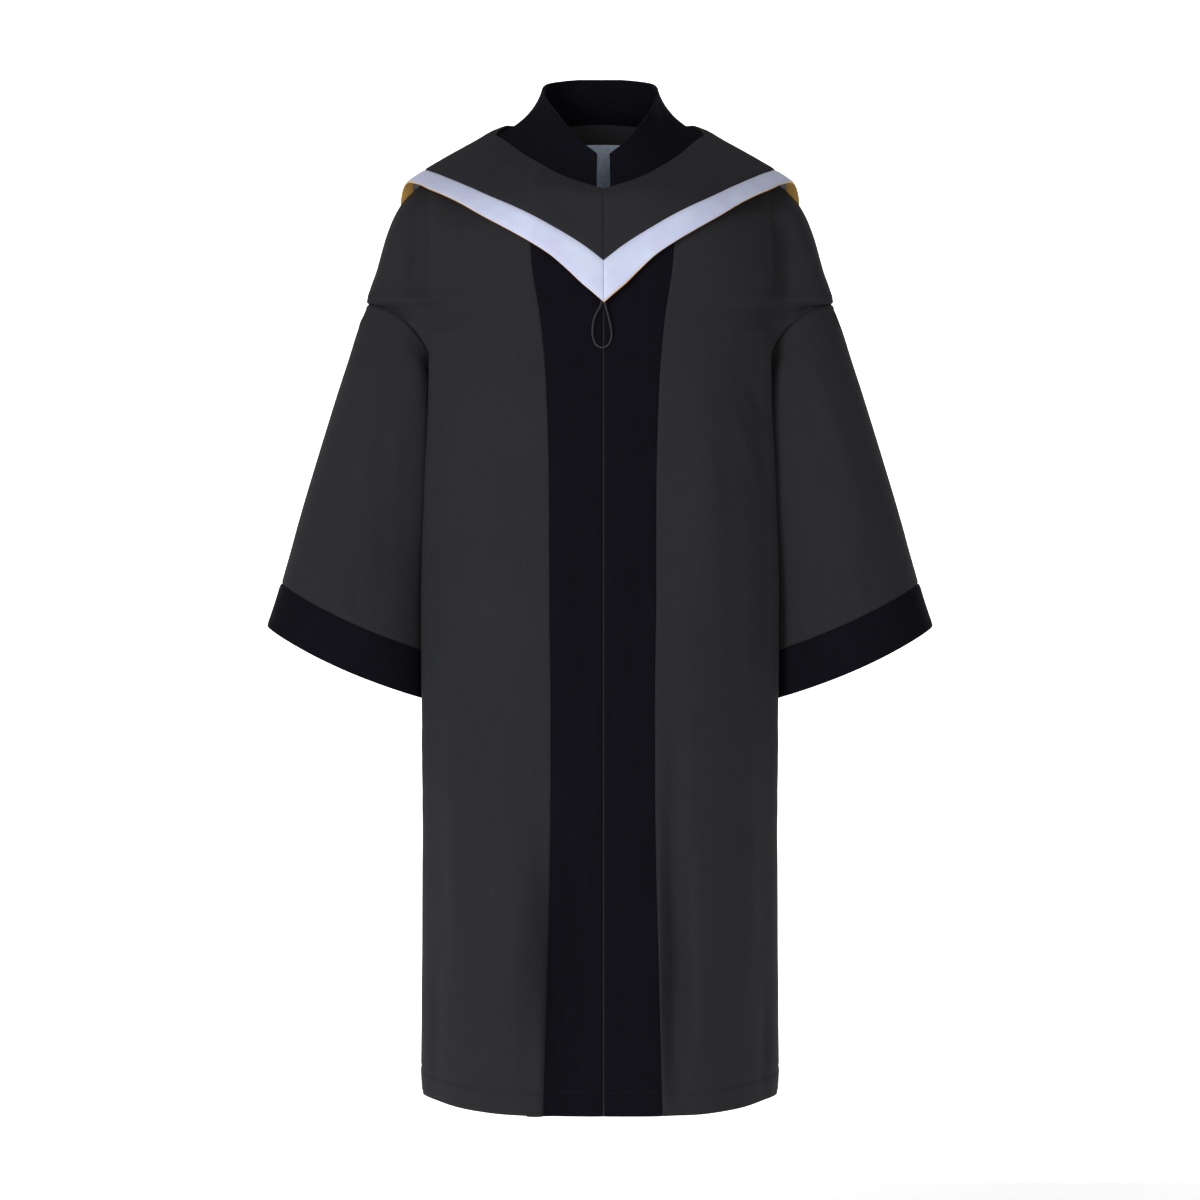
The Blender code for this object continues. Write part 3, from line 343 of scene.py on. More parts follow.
def ring_point(place, angle):
    """A point of the sleeve: angle 0 is its outer side, 90 its front and 180 its inner side."""
    ring = dict(zip(SLEEVE_COLUMNS, read_table(SLEEVE_ROWS, place)))
    turn = math.radians(angle)
    across = (1 - math.cos(turn)) / 2
    bow = ring["bow"] * abs(math.sin(turn)) ** BOW_POWER
    depth = ring["front"] if math.sin(turn) > 0 else ring["back"]
    x = ring["outer_x"] + (ring["inner_x"] - ring["outer_x"]) * across + BOW_DIRECTION[0] * bow
    z = ring["outer_z"] + (ring["inner_z"] - ring["outer_z"]) * across + BOW_DIRECTION[1] * bow
    return Vector((x, SIDE_Y - depth * math.sin(turn), z))


def armhole_angle(place):
    """Where a row of the body ends round the armhole, or None where it ends at a seam."""
    if UNDERARM < place < ARMHOLE_TOP:
        return 180.0 * (1 - (place - UNDERARM))
    return None


def soft_curve(keys, first_direction, last_direction, samples=SAMPLES_PER_KEY):
    """Points of a smooth curve through keys, which may be unevenly spaced."""
    lengths = [(b - a).length for a, b in zip(keys, keys[1:])]
    slopes = [(b - a) / length for a, b, length in zip(keys, keys[1:], lengths)]
    tangents = [first_direction]
    for i in range(1, len(keys) - 1):
        total = lengths[i - 1] + lengths[i]
        tangents.append((slopes[i] * lengths[i - 1] + slopes[i - 1] * lengths[i]) / total)
    tangents.append(last_direction)
    points = [keys[0].copy()]
    for i, length in enumerate(lengths):
        for step in range(1, samples + 1):
            u = step / samples
            point = keys[i] * (2 * u ** 3 - 3 * u ** 2 + 1) + keys[i + 1] * (3 * u ** 2 - 2 * u ** 3)
            point += tangents[i] * length * (u ** 3 - 2 * u ** 2 + u)
            point += tangents[i + 1] * length * (u ** 3 - u ** 2)
            points.append(point)
    return points


def fold_depth(face, part, length, band, height):
    """How far the hanging folds move a point of the body out or in."""
    total = 0.0
    if face == "front":
        for middle, half_width, depth, start, full in FRONT_FOLDS:
            ramp = ease((height - start) / (full - start))
            total += depth * ramp * bump(part * length - band - middle, half_width)
    else:
        for middle, half_width, depth, start, full in BACK_FOLDS:
            ramp = ease((height - start) / (full - start))
            total += depth * ramp * bump(part - middle, half_width)
    return total


def armhole_top_y(x):
    """How far forward the row at the armhole's top is, at a distance from the middle past its corner."""
    row = body_row("front", ARMHOLE_TOP)[0]
    for before, after in zip(row, row[1:]):
        if after.x >= x:
            return before.y + (after.y - before.y) * (x - before.x) / (after.x - before.x)
    return row[-1].y


def follow_armhole_top(points, width):
    """Lay the points past the corner along the row at the armhole's top, with their own end kept."""
    start = points[0].x
    miss = points[-1].y - armhole_top_y(points[-1].x)
    follow = ease(width / ARMHOLE_FOLLOW)
    for point in points:
        along = clamp((point.x - start) / width)
        target = armhole_top_y(point.x) + miss * along ** 2
        point.y += (target - point.y) * follow * ease(along * ARMHOLE_FOLLOW_START)


@lru_cache(None)
def body_row(face, place):
    """Points of a half row of the body from its middle to its edge, with their fractions."""
    size = section(place)
    corner = Vector((size["corner_x"], size["corner_y"]))
    rise = size["front"] + size["corner_y"]
    keys = [Vector((corner.x * u, rise * u ** FRONT_POWER - size["front"])) for u in KEY_STEPS]
    angle = armhole_angle(place)
    edge = Vector((size["edge_x"], SIDE_Y))
    edge_z = size["edge_z"]
    edge_back_y = SIDE_Y
    openness = 0.0
    if angle is not None:
        ring_front = ring_point(0, angle)
        edge = Vector((ring_front.x, ring_front.y))
        edge_z = ring_front.z
        edge_back_y = ring_point(0, -angle).y
        openness = math.sin(math.radians(angle))
    chord = edge - corner
    outward = Vector((chord.y, -chord.x)).normalized()
    scale = min(1.0, chord.length / FULL_CHORD)
    keys.append(corner + chord * VALLEY_AT - outward * size["valley"] * scale)
    keys.append(corner + chord * BULGE_AT + outward * size["bulge"] * scale)
    keys.append(edge)
    end_direction = Vector((0, 1)).lerp((edge - keys[-2]).normalized(), openness).normalized()
    points = soft_curve(keys, Vector((1, 0)), end_direction)
    if angle is not None and chord.x > 0:
        follow_armhole_top(points[SAMPLES_PER_KEY * (len(KEY_STEPS) - 1):], chord.x)
    middle_z = size["front_z"]
    if face == "back":
        ratio = (size["back"] - SIDE_Y) / (size["front"] + SIDE_Y)
        miss = edge_back_y - (SIDE_Y + (SIDE_Y - points[-1].y) * ratio)
        middle_z = size["back_z"]
        last = len(points) - 1
        mirrored = []
        for i, p in enumerate(points):
            closing = miss * (i / last) ** BACK_EDGE_POWER
            mirrored.append(Vector((p.x, SIDE_Y + (SIDE_Y - p.y) * ratio + closing)))
        points = mirrored
    runs = [0.0]
    for a, b in zip(points, points[1:]):
        runs.append(runs[-1] + (b - a).length)
    length = runs[-1]
    parts = [run / length for run in runs]
    row = []
    for i, point in enumerate(points):
        along = points[min(i + 1, len(points) - 1)] - points[max(i - 1, 0)]
        out = Vector((along.y, -along.x)).normalized()
        if face == "back":
            out = -out
        height = middle_z + (edge_z - middle_z) * parts[i] ** SIDE_RISE_POWER
        point = point + out * fold_depth(face, parts[i], length, size["band"], height)
        row.append(Vector((point.x, point.y, height)))
    return row, parts, length


def body_point(face, place, part):
    """The outside of the body at a place up it and a fraction of the half row."""
    row, parts, _ = body_row(face, round(place, PLACE_DIGITS))
    part = clamp(part)
    low, high = 0, len(parts) - 1
    while high - low > 1:
        half = (low + high) // 2
        if parts[half] <= part:
            low = half
        else:
            high = half
    return row[low].lerp(row[high], (part - parts[low]) / (parts[high] - parts[low]))


def body_normal(face, place, part):
    """The outward direction of the body's surface."""
    if armhole_angle(place) is not None:
        part = min(part, ARMHOLE_NORMAL_PART)
    along = body_point(face, place, part + NORMAL_STEP) - body_point(face, place, part - NORMAL_STEP)
    above, below = min(place + NORMAL_RISE, NECK), max(place - NORMAL_RISE, 0)
    up = body_point(face, above, part) - body_point(face, below, part)
    out = along.cross(up) if face == "front" else up.cross(along)
    if part >= 1 - END_PART:
        out.y = 0.0
    if part <= END_PART:
        out.x = 0.0
    return out.normalized()


def part_at_x(face, place, x):
    """The fraction of a half row where it is x from the middle."""
    row, parts, _ = body_row(face, round(place, PLACE_DIGITS))
    for i in range(1, len(row)):
        if row[i].x >= x:
            return parts[i - 1] + (parts[i] - parts[i - 1]) * (x - row[i - 1].x) / (row[i].x - row[i - 1].x)
    return 1.0


def place_at_height(face, height):
    """The place up the middle of the back or front at a height."""
    low, high = 0.0, float(NECK)
    for _ in range(HALVINGS):
        half = (low + high) / 2
        if body_point(face, half, 0.0).z < height:
            low = half
        else:
            high = half
    return (low + high) / 2


def settle(point, side=1):
    """Mirror a point to its side. The middle of the front lies a little to the wearer's left."""
    x = point.x * side
    front = clamp((SIDE_Y - point.y) / FRONT_SHIFT_DEPTH)
    middle = max(0.0, 1 - (x / FRONT_SHIFT_REACH) ** 2)
    return Vector((x + FRONT_SHIFT * middle ** 2 * front, point.y, point.z))


def grid_normals(grid, ring=False):
    """Outward directions of a grid whose rows run down.

    Its columns run from the front round +X, or, on a ring, from its outer side round the front.
    """
    rows, columns = len(grid), len(grid[0])
    normals = []
    for i in range(rows):
        line = []
        for j in range(columns):
            if ring:
                along = grid[i][j - 1] - grid[i][(j + 1) % columns]
            else:
                along = grid[i][min(j + 1, columns - 1)] - grid[i][max(j - 1, 0)]
            down = grid[min(i + 1, rows - 1)][j] - grid[max(i - 1, 0)][j]
            line.append(down.cross(along).normalized())
        normals.append(line)
    return normals


def seam_part(face, place):
    """Half a seam's gap as a fraction of a row."""
    return SEAM / 2 / body_row(face, round(place, PLACE_DIGITS))[2]


def edge_part(face, place):
    """Where a panel ends: short of a seam, or at the armhole."""
    if armhole_angle(place) is not None:
        return 1.0
    return 1.0 - seam_part(face, place)


def band_part(place):
    """Where the velvet band ends, as a fraction of the half row."""
    return part_at_x("front", place, section(place)["band"])


def neckline_columns():
    """Faces and fractions along the half neckline, from the front slot to the back."""
    columns = []
    start = part_at_x("front", NECK, COLLAR_SLOT)
    band_start = part_at_x("front", NECK, ZIP_GAP / 2)
    band_end = band_part(NECK) - seam_part("front", NECK)
    for column in BAND_COLUMNS:
        columns.append(("front", band_start + (band_end - band_start) * column))
    panel_start = band_part(NECK) + seam_part("front", NECK)
    panel_end = edge_part("front", NECK)
    for column in PANEL_COLUMNS[1:]:
        columns.append(("front", panel_start + (panel_end - panel_start) * column))
    columns[0] = ("front", start)
    back_end = edge_part("back", NECK)
    for column in reversed(BACK_COLUMNS):
        columns.append(("back", back_end * column))
    return columns


def collar_half(columns, steps, slot=True):
    """Outer points and outward directions of half the collar, as rows from the neckline up.

    Without its slot it is whole in front and laps the body, as a form for the hood.
    """
    if not slot:
        columns = [("front", 0.0)] + columns[1:]
    front_length = body_row("front", NECK)[2]
    back_length = body_row("back", NECK)[2]
    whole = front_length + back_length
    rows = [[] for _ in range(steps + 1)]
    for face, part in columns:
        run = part * front_length if face == "front" else front_length + (1 - part) * back_length
        base = body_point(face, NECK, part)
        out = body_normal(face, NECK, part)
        up = (base - body_point(face, NECK - COLLAR_UP_STEP, part)).normalized()
        base = base + out * SEAM + up * (SEAM if slot else -FORM_LAP)
        start_run = COLLAR_SLOT if slot else 0.0
        top = Vector(read_table(COLLAR_TOP, clamp((run - start_run) / (whole - start_run))))
        if not slot and run == 0:
            top.x = 0.0
        bend = top.lerp(base, COLLAR_BEND_ACROSS)
        bend.z = base.z + (top.z - base.z) * COLLAR_BEND_UP
        for step in range(steps + 1):
            u = step / steps
            rows[step].append(base * (1 - u) ** 2 + bend * 2 * u * (1 - u) + top * u ** 2)
    normals = [[-n for n in row] for row in grid_normals(rows)]
    for j, (face, part) in enumerate(columns):
        normals[0][j] = body_normal(face, NECK, part)
    for row in normals:
        face_straight(row, (-1,))
    return rows, normals


def split_columns(columns, steps):
    """More columns between the given ones of each face."""
    finer_columns = []
    for (face, part), (next_face, next_part) in zip(columns, columns[1:]):
        finer_columns.append((face, part))
        if face == next_face:
            for k in range(1, steps):
                finer_columns.append((face, part + (next_part - part) * k / steps))
    finer_columns.append(columns[-1])
    return finer_columns


def form_tree():
    """The whole outside of the body and collar as one surface, which the hood is laid on."""
    points, faces = [], []

    def add(grid):
        start = len(points)
        width = len(grid[0])
        for row in grid:
            points.extend(row)
        for i in range(len(grid) - 1):
            for j in range(width - 1):
                a = start + i * width + j
                faces.append((a, a + 1, a + width + 1, a + width))

    places = [NECK - FORM_ROW_STEP * k for k in range(FORM_ROWS + 1)]
    places.reverse()
    parts = [k / FORM_COLUMNS for k in range(FORM_COLUMNS + 1)]
    for face in ("front", "back"):
        for side in (-1, 1):
            grid = []
            for place in places:
                grid.append([mirror(body_point(face, place, part), side) for part in parts])
            add(grid)
    rows, _ = collar_half(neckline_columns(), COLLAR_STEPS, slot=False)
    for side in (-1, 1):
        add([[mirror(point, side) for point in row] for row in rows])
    return BVHTree.FromPolygons(points, faces)


def shoulder_line(x, tip, shoulder):
    """The height of the back's V line at a distance from the middle."""
    return tip + (shoulder[1] - tip) * (x / shoulder[0]) ** BACK_LINE_POWER


def hood_line(line, angle, x):
    """The height of one of the hood's three lines at a distance from the middle."""
    if line == "neck":
        side = abs(x / HOOD_NECK_SIDE_X) ** (HOOD_NECK_POWER if angle <= 90 else HOOD_NECK_BACK_POWER)
        if angle <= 90:
            side -= HOOD_NECK_SAG * bump(x / HOOD_NECK_SIDE_X - HOOD_NECK_SAG_AT, HOOD_NECK_SAG_AT)
        middle = HOOD_NECK_FRONT_Z if angle <= 90 else HOOD_NECK_BACK_Z
        return middle + (HOOD_NECK_SIDE_Z - middle) * side
    if line == "inner":
        if angle <= 90:
            return read_table(BAND_INNER_LINE, x)[0]
        return shoulder_line(x, BACK_INNER_TIP, INNER_SHOULDER)
    if angle <= 90:
        return read_table(BAND_OUTER_LINE, x)[0]
    return shoulder_line(x, BACK_OUTER_TIP, OUTER_SHOULDER)


def cast(tree, angle, height):
    """The farthest distance from the middle axis to the form, at an angle and a height."""
    turn = math.radians(min(angle + BESIDE_SEAM, 180 - BESIDE_SEAM))
    direction = Vector((math.sin(turn), -math.cos(turn), 0.0))
    far = Vector((0.0, SIDE_Y, height)) + direction
    hit = tree.ray_cast(far, -direction)[0]
    return (hit - Vector((0.0, SIDE_Y, height))).length


def height_on_line(tree, line, angle):
    """The height where one of the hood's lines crosses an angle."""
    sideways = math.sin(math.radians(angle))
    guess = HOOD_NECK_SIDE_X if line == "neck" else OUTER_SHOULDER[0]
    height = hood_line(line, angle, guess * sideways)
    for _ in range(LINE_ROUNDS):
        reach = cast(tree, angle, height) * sideways
        height += LINE_STEP * (hood_line(line, angle, reach) - height)
    return height


def hood_surface():
    """The hood's inner surface and outward directions, in rows from the neckline down."""
    tree = form_tree()
    steps = HOOD_STEPS + BAND_STEPS
    columns = []
    for angle in HOOD_ANGLES:
        neck = height_on_line(tree, "neck", angle)
        inner = height_on_line(tree, "inner", angle)
        outer = height_on_line(tree, "outer", angle)
        heights = [neck + (inner - neck) * level for level in HOOD_LEVELS]
        heights += [inner + (outer - inner) * i / BAND_STEPS for i in range(BAND_STEPS + 1)]
        columns.append([(cast(tree, angle, height), height) for height in heights])
    bridged = []
    for i in range(steps + 1):
        line = []
        for j in range(len(columns)):
            near = [columns[max(j - 1, 0)][i][0], columns[min(j + 1, len(columns) - 1)][i][0]]
            line.append(max(columns[j][i][0], sum(near) / 2))
        bridged.append(line)
    grid = []
    for i in range(steps + 1):
        line = []
        for j, angle in enumerate(HOOD_ANGLES):
            turn = math.radians(angle)
            reach = bridged[i][j]
            line.append(Vector((reach * math.sin(turn), SIDE_Y - reach * math.cos(turn), columns[j][i][1])))
        grid.append(line)
    normals = grid_normals(grid)
    for _ in range(NORMAL_ROUNDS):
        rounder = []
        for i in range(steps + 1):
            line = []
            for j in range(len(HOOD_ANGLES)):
                around = [normals[max(i - 1, 0)][j], normals[min(i + 1, steps)][j],
                          normals[i][max(j - 1, 0)], normals[i][min(j + 1, len(HOOD_ANGLES) - 1)]]
                line.append((normals[i][j] * 2 + sum(around, Vector())).normalized())
            rounder.append(line)
        normals = rounder
    for i in range(steps + 1):
        face_straight(normals[i])
        down = i / steps
        for j, angle in enumerate(HOOD_ANGLES):
            clear = HOOD_CLEARANCE_NECK + (HOOD_CLEARANCE_EDGE - HOOD_CLEARANCE_NECK) * down
            clear += HOOD_CLEARANCE_TIP * down ** 2 * bump(angle, TIP_REACH)
            grid[i][j] = grid[i][j] + normals[i][j] * clear
            grid[i][j].x = max(grid[i][j].x, SEAM / 2)
    return grid, normals


def shorten(grid, row, towards, distance):
    """A row of a grid moved a small distance towards another row."""
    return [a + (b - a).normalized() * distance for a, b in zip(grid[row], grid[towards])]


# Fine rows and columns of the cloth pieces.
ROW_SPACING = 0.0075
LEAST_ROW_STEP = 0.005
ARMHOLE_STEP = 4
SLEEVE_ANGLES = tuple(range(0, 360, ARMHOLE_STEP))
HEM_Z = -1.149
HEM_PLACE_LENGTH = 0.149
HEM_DEPTH = 0.027
HEM_ROWS = (0.0015, 0.004, 0.022, 0.0245, HEM_DEPTH, 0.0295, 0.032)
EDGE_COLUMNS = (0.0, 0.004, 0.010, 0.018, 0.030)
# The hidden allowance under the piece beside a seam.
TUCK_REACH = 0.006
TUCK_STEP = 0.0002
TUCK_TURN = 0.3
TUCK_CLEAR = 0.0005
TUCK_AT_ARMHOLE = 0.0003
# The dip of the cloth beside a seam, and the turned-up hem with its stitched groove.
SEAM_ROLL = 0.0011
SEAM_ROLL_REACH = 0.0045
HEM_FOLD = 0.0005
HEM_GROOVE = 0.0010
HEM_LEAN = 0.0016
HEM_FLAT = 0.055
HEM_GROOVE_REACH = 0.004

# Unevenness of all cloth: the size of its patches, its height, and a shift of its pattern.
UNEVENNESS = (
    (0.150, 0.0012, 3.1),
    (0.055, 0.0005, 7.7),
)

# Where the rows near the armhole's top are evened out, and over what reach.
SOFT_PLACES = 0.5
SOFT_FROM_X = 0.12
SOFT_EASE = 0.04
SOFT_EDGE = 0.008
SOFT_ROWS = 12
SOFT_REACH = 0.022
SOFT_LEAST = 1e-6

# Creases of the front: metres from the middle along the cloth, height, length, width,
# lean from upright in degrees, and rise. A trough has a negative rise.
FRONT_CREASES = {
    "left": (
        (0.120, -0.420, 0.42, 0.070, 3, 0.0030),
        (0.160, -0.560, 0.50, 0.050, -2, -0.0024),
        (0.100, -0.700, 0.55, 0.045, 2, 0.0016),
        (0.190, -0.820, 0.46, 0.055, -3, 0.0022),
        (0.150, -0.960, 0.34, 0.050, 4, -0.0020),
        (0.110, -1.000, 0.30, 0.040, -3, 0.0016),
        (0.196, -0.330, 0.13, 0.030, -38, -0.0022),
        (0.176, -0.380, 0.16, 0.034, -28, 0.0020),
        (0.214, -0.420, 0.14, 0.030, -20, -0.0018),
        (0.150, -0.270, 0.12, 0.036, 18, 0.0012),
        (0.262, -0.195, 0.075, 0.016, 8, 0.0020),
        (0.244, -0.210, 0.060, 0.014, 14, -0.0014),
        (0.232, -1.080, 0.18, 0.040, 5, -0.0022),
        (0.088, -0.540, 0.16, 0.020, 3, 0.0012),
    ),
    "right": (
        (0.130, -0.450, 0.46, 0.066, -2, 0.0028),
        (0.170, -0.600, 0.44, 0.052, 3, -0.0026),
        (0.108, -0.760, 0.50, 0.046, -3, 0.0018),
        (0.184, -0.860, 0.40, 0.056, 2, 0.0020),
        (0.146, -1.010, 0.26, 0.046, -4, -0.0018),
        (0.200, -0.340, 0.15, 0.030, -34, -0.0024),
        (0.182, -0.395, 0.14, 0.032, -24, 0.0018),
        (0.218, -0.440, 0.16, 0.030, -16, -0.0016),
        (0.156, -0.250, 0.10, 0.034, 22, 0.0012),
        (0.266, -0.200, 0.085, 0.016, 10, 0.0022),
        (0.247, -0.205, 0.055, 0.014, 6, -0.0014),
        (0.228, -1.060, 0.20, 0.040, -4, -0.0020),
        (0.084, -0.500, 0.20, 0.020, -3, 0.0012),
    ),
}
# Deep folds of the front: distance from the middle, height, length, width, lean and depth. They
# move the cloth straight back, and the two pieces beside a seam follow them alike.
DEEP_FOLDS = {
    "right": (
        (0.046, -0.960, 0.44, 0.072, 1, -0.0120),
        (0.058, -0.975, 0.42, 0.090, 1, -0.0240),
        (0.078, -1.080, 0.76, 0.034, 0, 0.0085),
        (0.204, -0.158, 0.30, 0.016, 1, -0.0075),
        (0.213, -0.158, 0.30, 0.044, 1, -0.0100),
    ),
    "left": (
        (0.085, -0.965, 0.42, 0.050, 0, -0.0170),
        (0.083, -0.780, 0.26, 0.030, 0, -0.0050),
        (0.066, -0.900, 0.40, 0.016, 0, 0.0024),
        (0.204, -0.160, 0.29, 0.016, 0, -0.0075),
        (0.213, -0.162, 0.30, 0.044, 0, -0.0100),
    ),
}
# Creases of the back, in the same columns, with metres from the fold at its middle.
BACK_CREASES = {
    "left": (
        (0.060, -0.620, 0.60, 0.060, 2, 0.0026),
        (0.120, -0.480, 0.36, 0.056, -3, -0.0024),
        (0.170, -0.700, 0.52, 0.060, 3, 0.0028),
        (0.210, -0.900, 0.36, 0.050, -2, -0.0022),
        (0.190, -0.350, 0.14, 0.032, -32, -0.0022),
        (0.170, -0.410, 0.16, 0.034, -22, 0.0020),
        (0.020, -0.950, 0.30, 0.040, -2, -0.0018),
        (0.256, -0.195, 0.070, 0.018, 8, 0.0016),
        (0.030, -0.020, 0.060, 0.014, 70, -0.0010),
    ),
    "right": (
        (0.050, -0.700, 0.56, 0.056, -3, 0.0024),
        (0.112, -0.540, 0.40, 0.058, 2, -0.0026),
        (0.176, -0.640, 0.50, 0.062, -2, 0.0026),
        (0.216, -0.930, 0.32, 0.048, 3, -0.0020),
        (0.194, -0.360, 0.15, 0.030, -28, -0.0020),
        (0.172, -0.430, 0.14, 0.034, -20, 0.0018),
        (0.262, -0.190, 0.080, 0.018, 6, 0.0016),
        (0.022, -0.012, 0.050, 0.012, 62, -0.0009),
    ),
}
# Creases of the sleeves: metres round from the outer side past the front, metres down
# from the armhole below zero, then as above.
SLEEVE_DEGREE = 0.0014
SLEEVE_PLACE = 0.074
SLEEVE_CREASES = {
    "left": (
        (0.180, -0.175, 0.34, 0.070, -6, 0.0085),
        (0.030, -0.040, 0.075, 0.020, 14, 0.0018),
        (0.056, -0.030, 0.050, 0.014, 6, -0.0010),
        (0.084, -0.034, 0.060, 0.014, -4, 0.0010),
        (0.128, -0.038, 0.070, 0.018, -8, -0.0012),
        (0.190, -0.050, 0.090, 0.022, -12, 0.0014),
        (0.100, -0.190, 0.220, 0.044, 4, 0.0022),
        (0.070, -0.260, 0.180, 0.036, -5, -0.0018),
        (0.150, -0.300, 0.160, 0.034, 3, -0.0016),
        (0.062, -0.345, 0.045, 0.012, 10, 0.0016),
        (0.078, -0.350, 0.036, 0.010, -8, -0.0012),
        (0.110, -0.350, 0.040, 0.016, 18, 0.0030),
        (0.126, -0.348, 0.040, 0.016, -22, -0.0028),
        (0.330, -0.120, 0.200, 0.044, 5, 0.0020),
        (0.400, -0.220, 0.220, 0.046, -4, -0.0020),
        (0.450, -0.060, 0.080, 0.018, 8, 0.0012),
        (0.360, -0.346, 0.040, 0.012, 7, 0.0013),
    ),
    "right": (
        (0.180, -0.175, 0.34, 0.070, -6, 0.0085),
        (0.026, -0.046, 0.085, 0.020, 10, 0.0020),
        (0.050, -0.028, 0.046, 0.014, -6, -0.0010),
        (0.092, -0.036, 0.056, 0.014, 5, 0.0010),
        (0.134, -0.034, 0.066, 0.018, -6, -0.0012),
        (0.186, -0.056, 0.100, 0.022, -14, 0.0014),
        (0.108, -0.210, 0.240, 0.046, -3, 0.0022),
        (0.074, -0.240, 0.160, 0.036, 5, -0.0018),
        (0.146, -0.290, 0.180, 0.032, -4, -0.0016),
        (0.070, -0.343, 0.050, 0.012, -9, 0.0017),
        (0.086, -0.349, 0.036, 0.010, 8, -0.0012),
        (0.112, -0.350, 0.044, 0.016, 16, 0.0032),
        (0.128, -0.348, 0.040, 0.018, -26, -0.0030),
        (0.336, -0.140, 0.180, 0.042, -5, 0.0020),
        (0.392, -0.240, 0.200, 0.046, 4, -0.0020),
        (0.444, -0.064, 0.080, 0.018, -7, 0.0012),
        (0.352, -0.346, 0.040, 0.012, -7, 0.0013),
    ),
}
# Creases of the hood: metres round from the front, height, then length, width, lean and rise.
HOOD_DEGREE = 0.0030
HOOD_CREASES = {
    "left": (
        (0.060, -0.120, 0.090, 0.026, 24, 0.0012),
        (0.120, -0.070, 0.080, 0.024, 40, -0.0011),
        (0.190, -0.050, 0.070, 0.026, 30, 0.0012),
        (0.330, -0.060, 0.120, 0.030, -20, 0.0014),
        (0.420, -0.140, 0.160, 0.036, -10, -0.0014),
        (0.500, -0.180, 0.180, 0.030, -4, 0.0014),
    ),
    "right": (
        (0.050, -0.115, 0.080, 0.024, 28, -0.0010),
        (0.106, -0.080, 0.090, 0.026, 36, 0.0012),
        (0.180, -0.056, 0.070, 0.026, 26, -0.0012),
        (0.320, -0.070, 0.120, 0.030, -18, -0.0013),
        (0.410, -0.130, 0.150, 0.036, -12, 0.0015),
        (0.490, -0.200, 0.190, 0.030, -5, -0.0013),
    ),
}
# Fine steps of the hood, how far its first rows sink, and the fuller edge at the shoulders.
HOOD_ACROSS = 6
HOOD_DOWN = 5
HOOD_SETTLE = (0.0016, 0.0014, 0.0010, 0.0004)
SHOULDER_LIFT = 0.0085
SHOULDER_LIFT_ANGLE = 77
SHOULDER_LIFT_REACH = 33

# Fine steps, widths and edges of the other pieces.
COLLAR_FINE_STEPS = 22
COLLAR_FINE_SPLIT = 4
CUFF_ROWS = 12
COLLAR_STIFFNESS = 0.5
SIDE_FRONT_WIDTH = 0.24
FRONT_BAND_WIDTH = 0.066
HALF_BACK_WIDTH = 0.32
RIM_ANGLE = 60
WELD = 1e-6

# Stitches and zip teeth, which are made in lots.
STITCH_PITCH = 0.0036
STITCH_SIZE = (0.0026, 0.0006, 0.0005)
TOOTH_PITCH = 0.0015
BEAD_LOT = 60
TOOTH_SIZE = (0.0013, 0.0009, 0.0009)
TOOTH_DEPTH = 0.0017
STITCH_INSET = 0.0022
NYLON_ROUGHNESS = 0.4
METAL_ROUGHNESS = 0.35
# A wave texture of scale 1 repeats at this distance.
WAVE_REPEAT = math.tau / 20

# The paper sweep, the camera and the light.
FLOOR_Z = -1.55
BACKDROP_Y = 4.6
BACKDROP_BEND = 0.9
BACKDROP_TOP = 3.2
BACKDROP_HALF_WIDTH = 4.0
BACKDROP_STEPS = 60
FLOOR_FRONT_Y = -6.0
CAMERA_Y = -3.0
CAMERA_Z = -0.564
CAMERA_LENS = 75.0
SENSOR = 36.0
PAPER_COLOUR = (0.93, 0.93, 0.93)
WORLD_LIGHT = 0.26
PAPER_GLOW = 0.47
WALL_GLOW = 0.95
LIT_FROM_Y = 1.2
# Lights: name, place, aim, width, height and power.
LIGHTS = (
    ("left_softbox", (-2.2, -3.4, 0.4), (0.0, 0.0, -0.5), 1.3, 2.0, 86.0),
    ("front_softbox", (0.9, -4.0, 0.0), (0.0, 0.0, -0.5), 1.6, 2.2, 32.0),
)

grids = {}


def unevenness(point):
    """The slight waviness of all the cloth, the same wherever two pieces meet."""
    total = 0.0
    for size, height, shift in UNEVENNESS:
        total += noise.noise(point / size + Vector((shift, 0, 0))) * height
    return total


def crease_rise(creases, across, up):
    """How far the creases lift a point of the cloth."""
    total = 0.0
    for run, height, length, width, lean, rise in creases:
        aside, above = across - run, up - height
        if abs(aside) > length or abs(above) > length:
            continue
        turn = math.radians(lean)
        along = above * math.cos(turn) + aside * math.sin(turn)
        off = aside * math.cos(turn) - above * math.sin(turn)
        total += rise * bump(along, length / 2) * bump(off, width / 2)
    return total


def seam_roll(distance):
    """How far the cloth dips beside a seam."""
    near = 1 - clamp(distance / SEAM_ROLL_REACH)
    return -SEAM_ROLL * near * near


def hem_rise(height):
    """The turned-up hem's thickness and the dip of its stitching."""
    above = height - HEM_Z
    fold = HEM_FOLD * (1 - ease((above - HEM_DEPTH + HEM_GROOVE_REACH / 2) / HEM_GROOVE_REACH))
    lean = HEM_LEAN * clamp(1 - above / HEM_DEPTH)
    return fold - lean - HEM_GROOVE * bump(above - HEM_DEPTH, HEM_GROOVE_REACH)


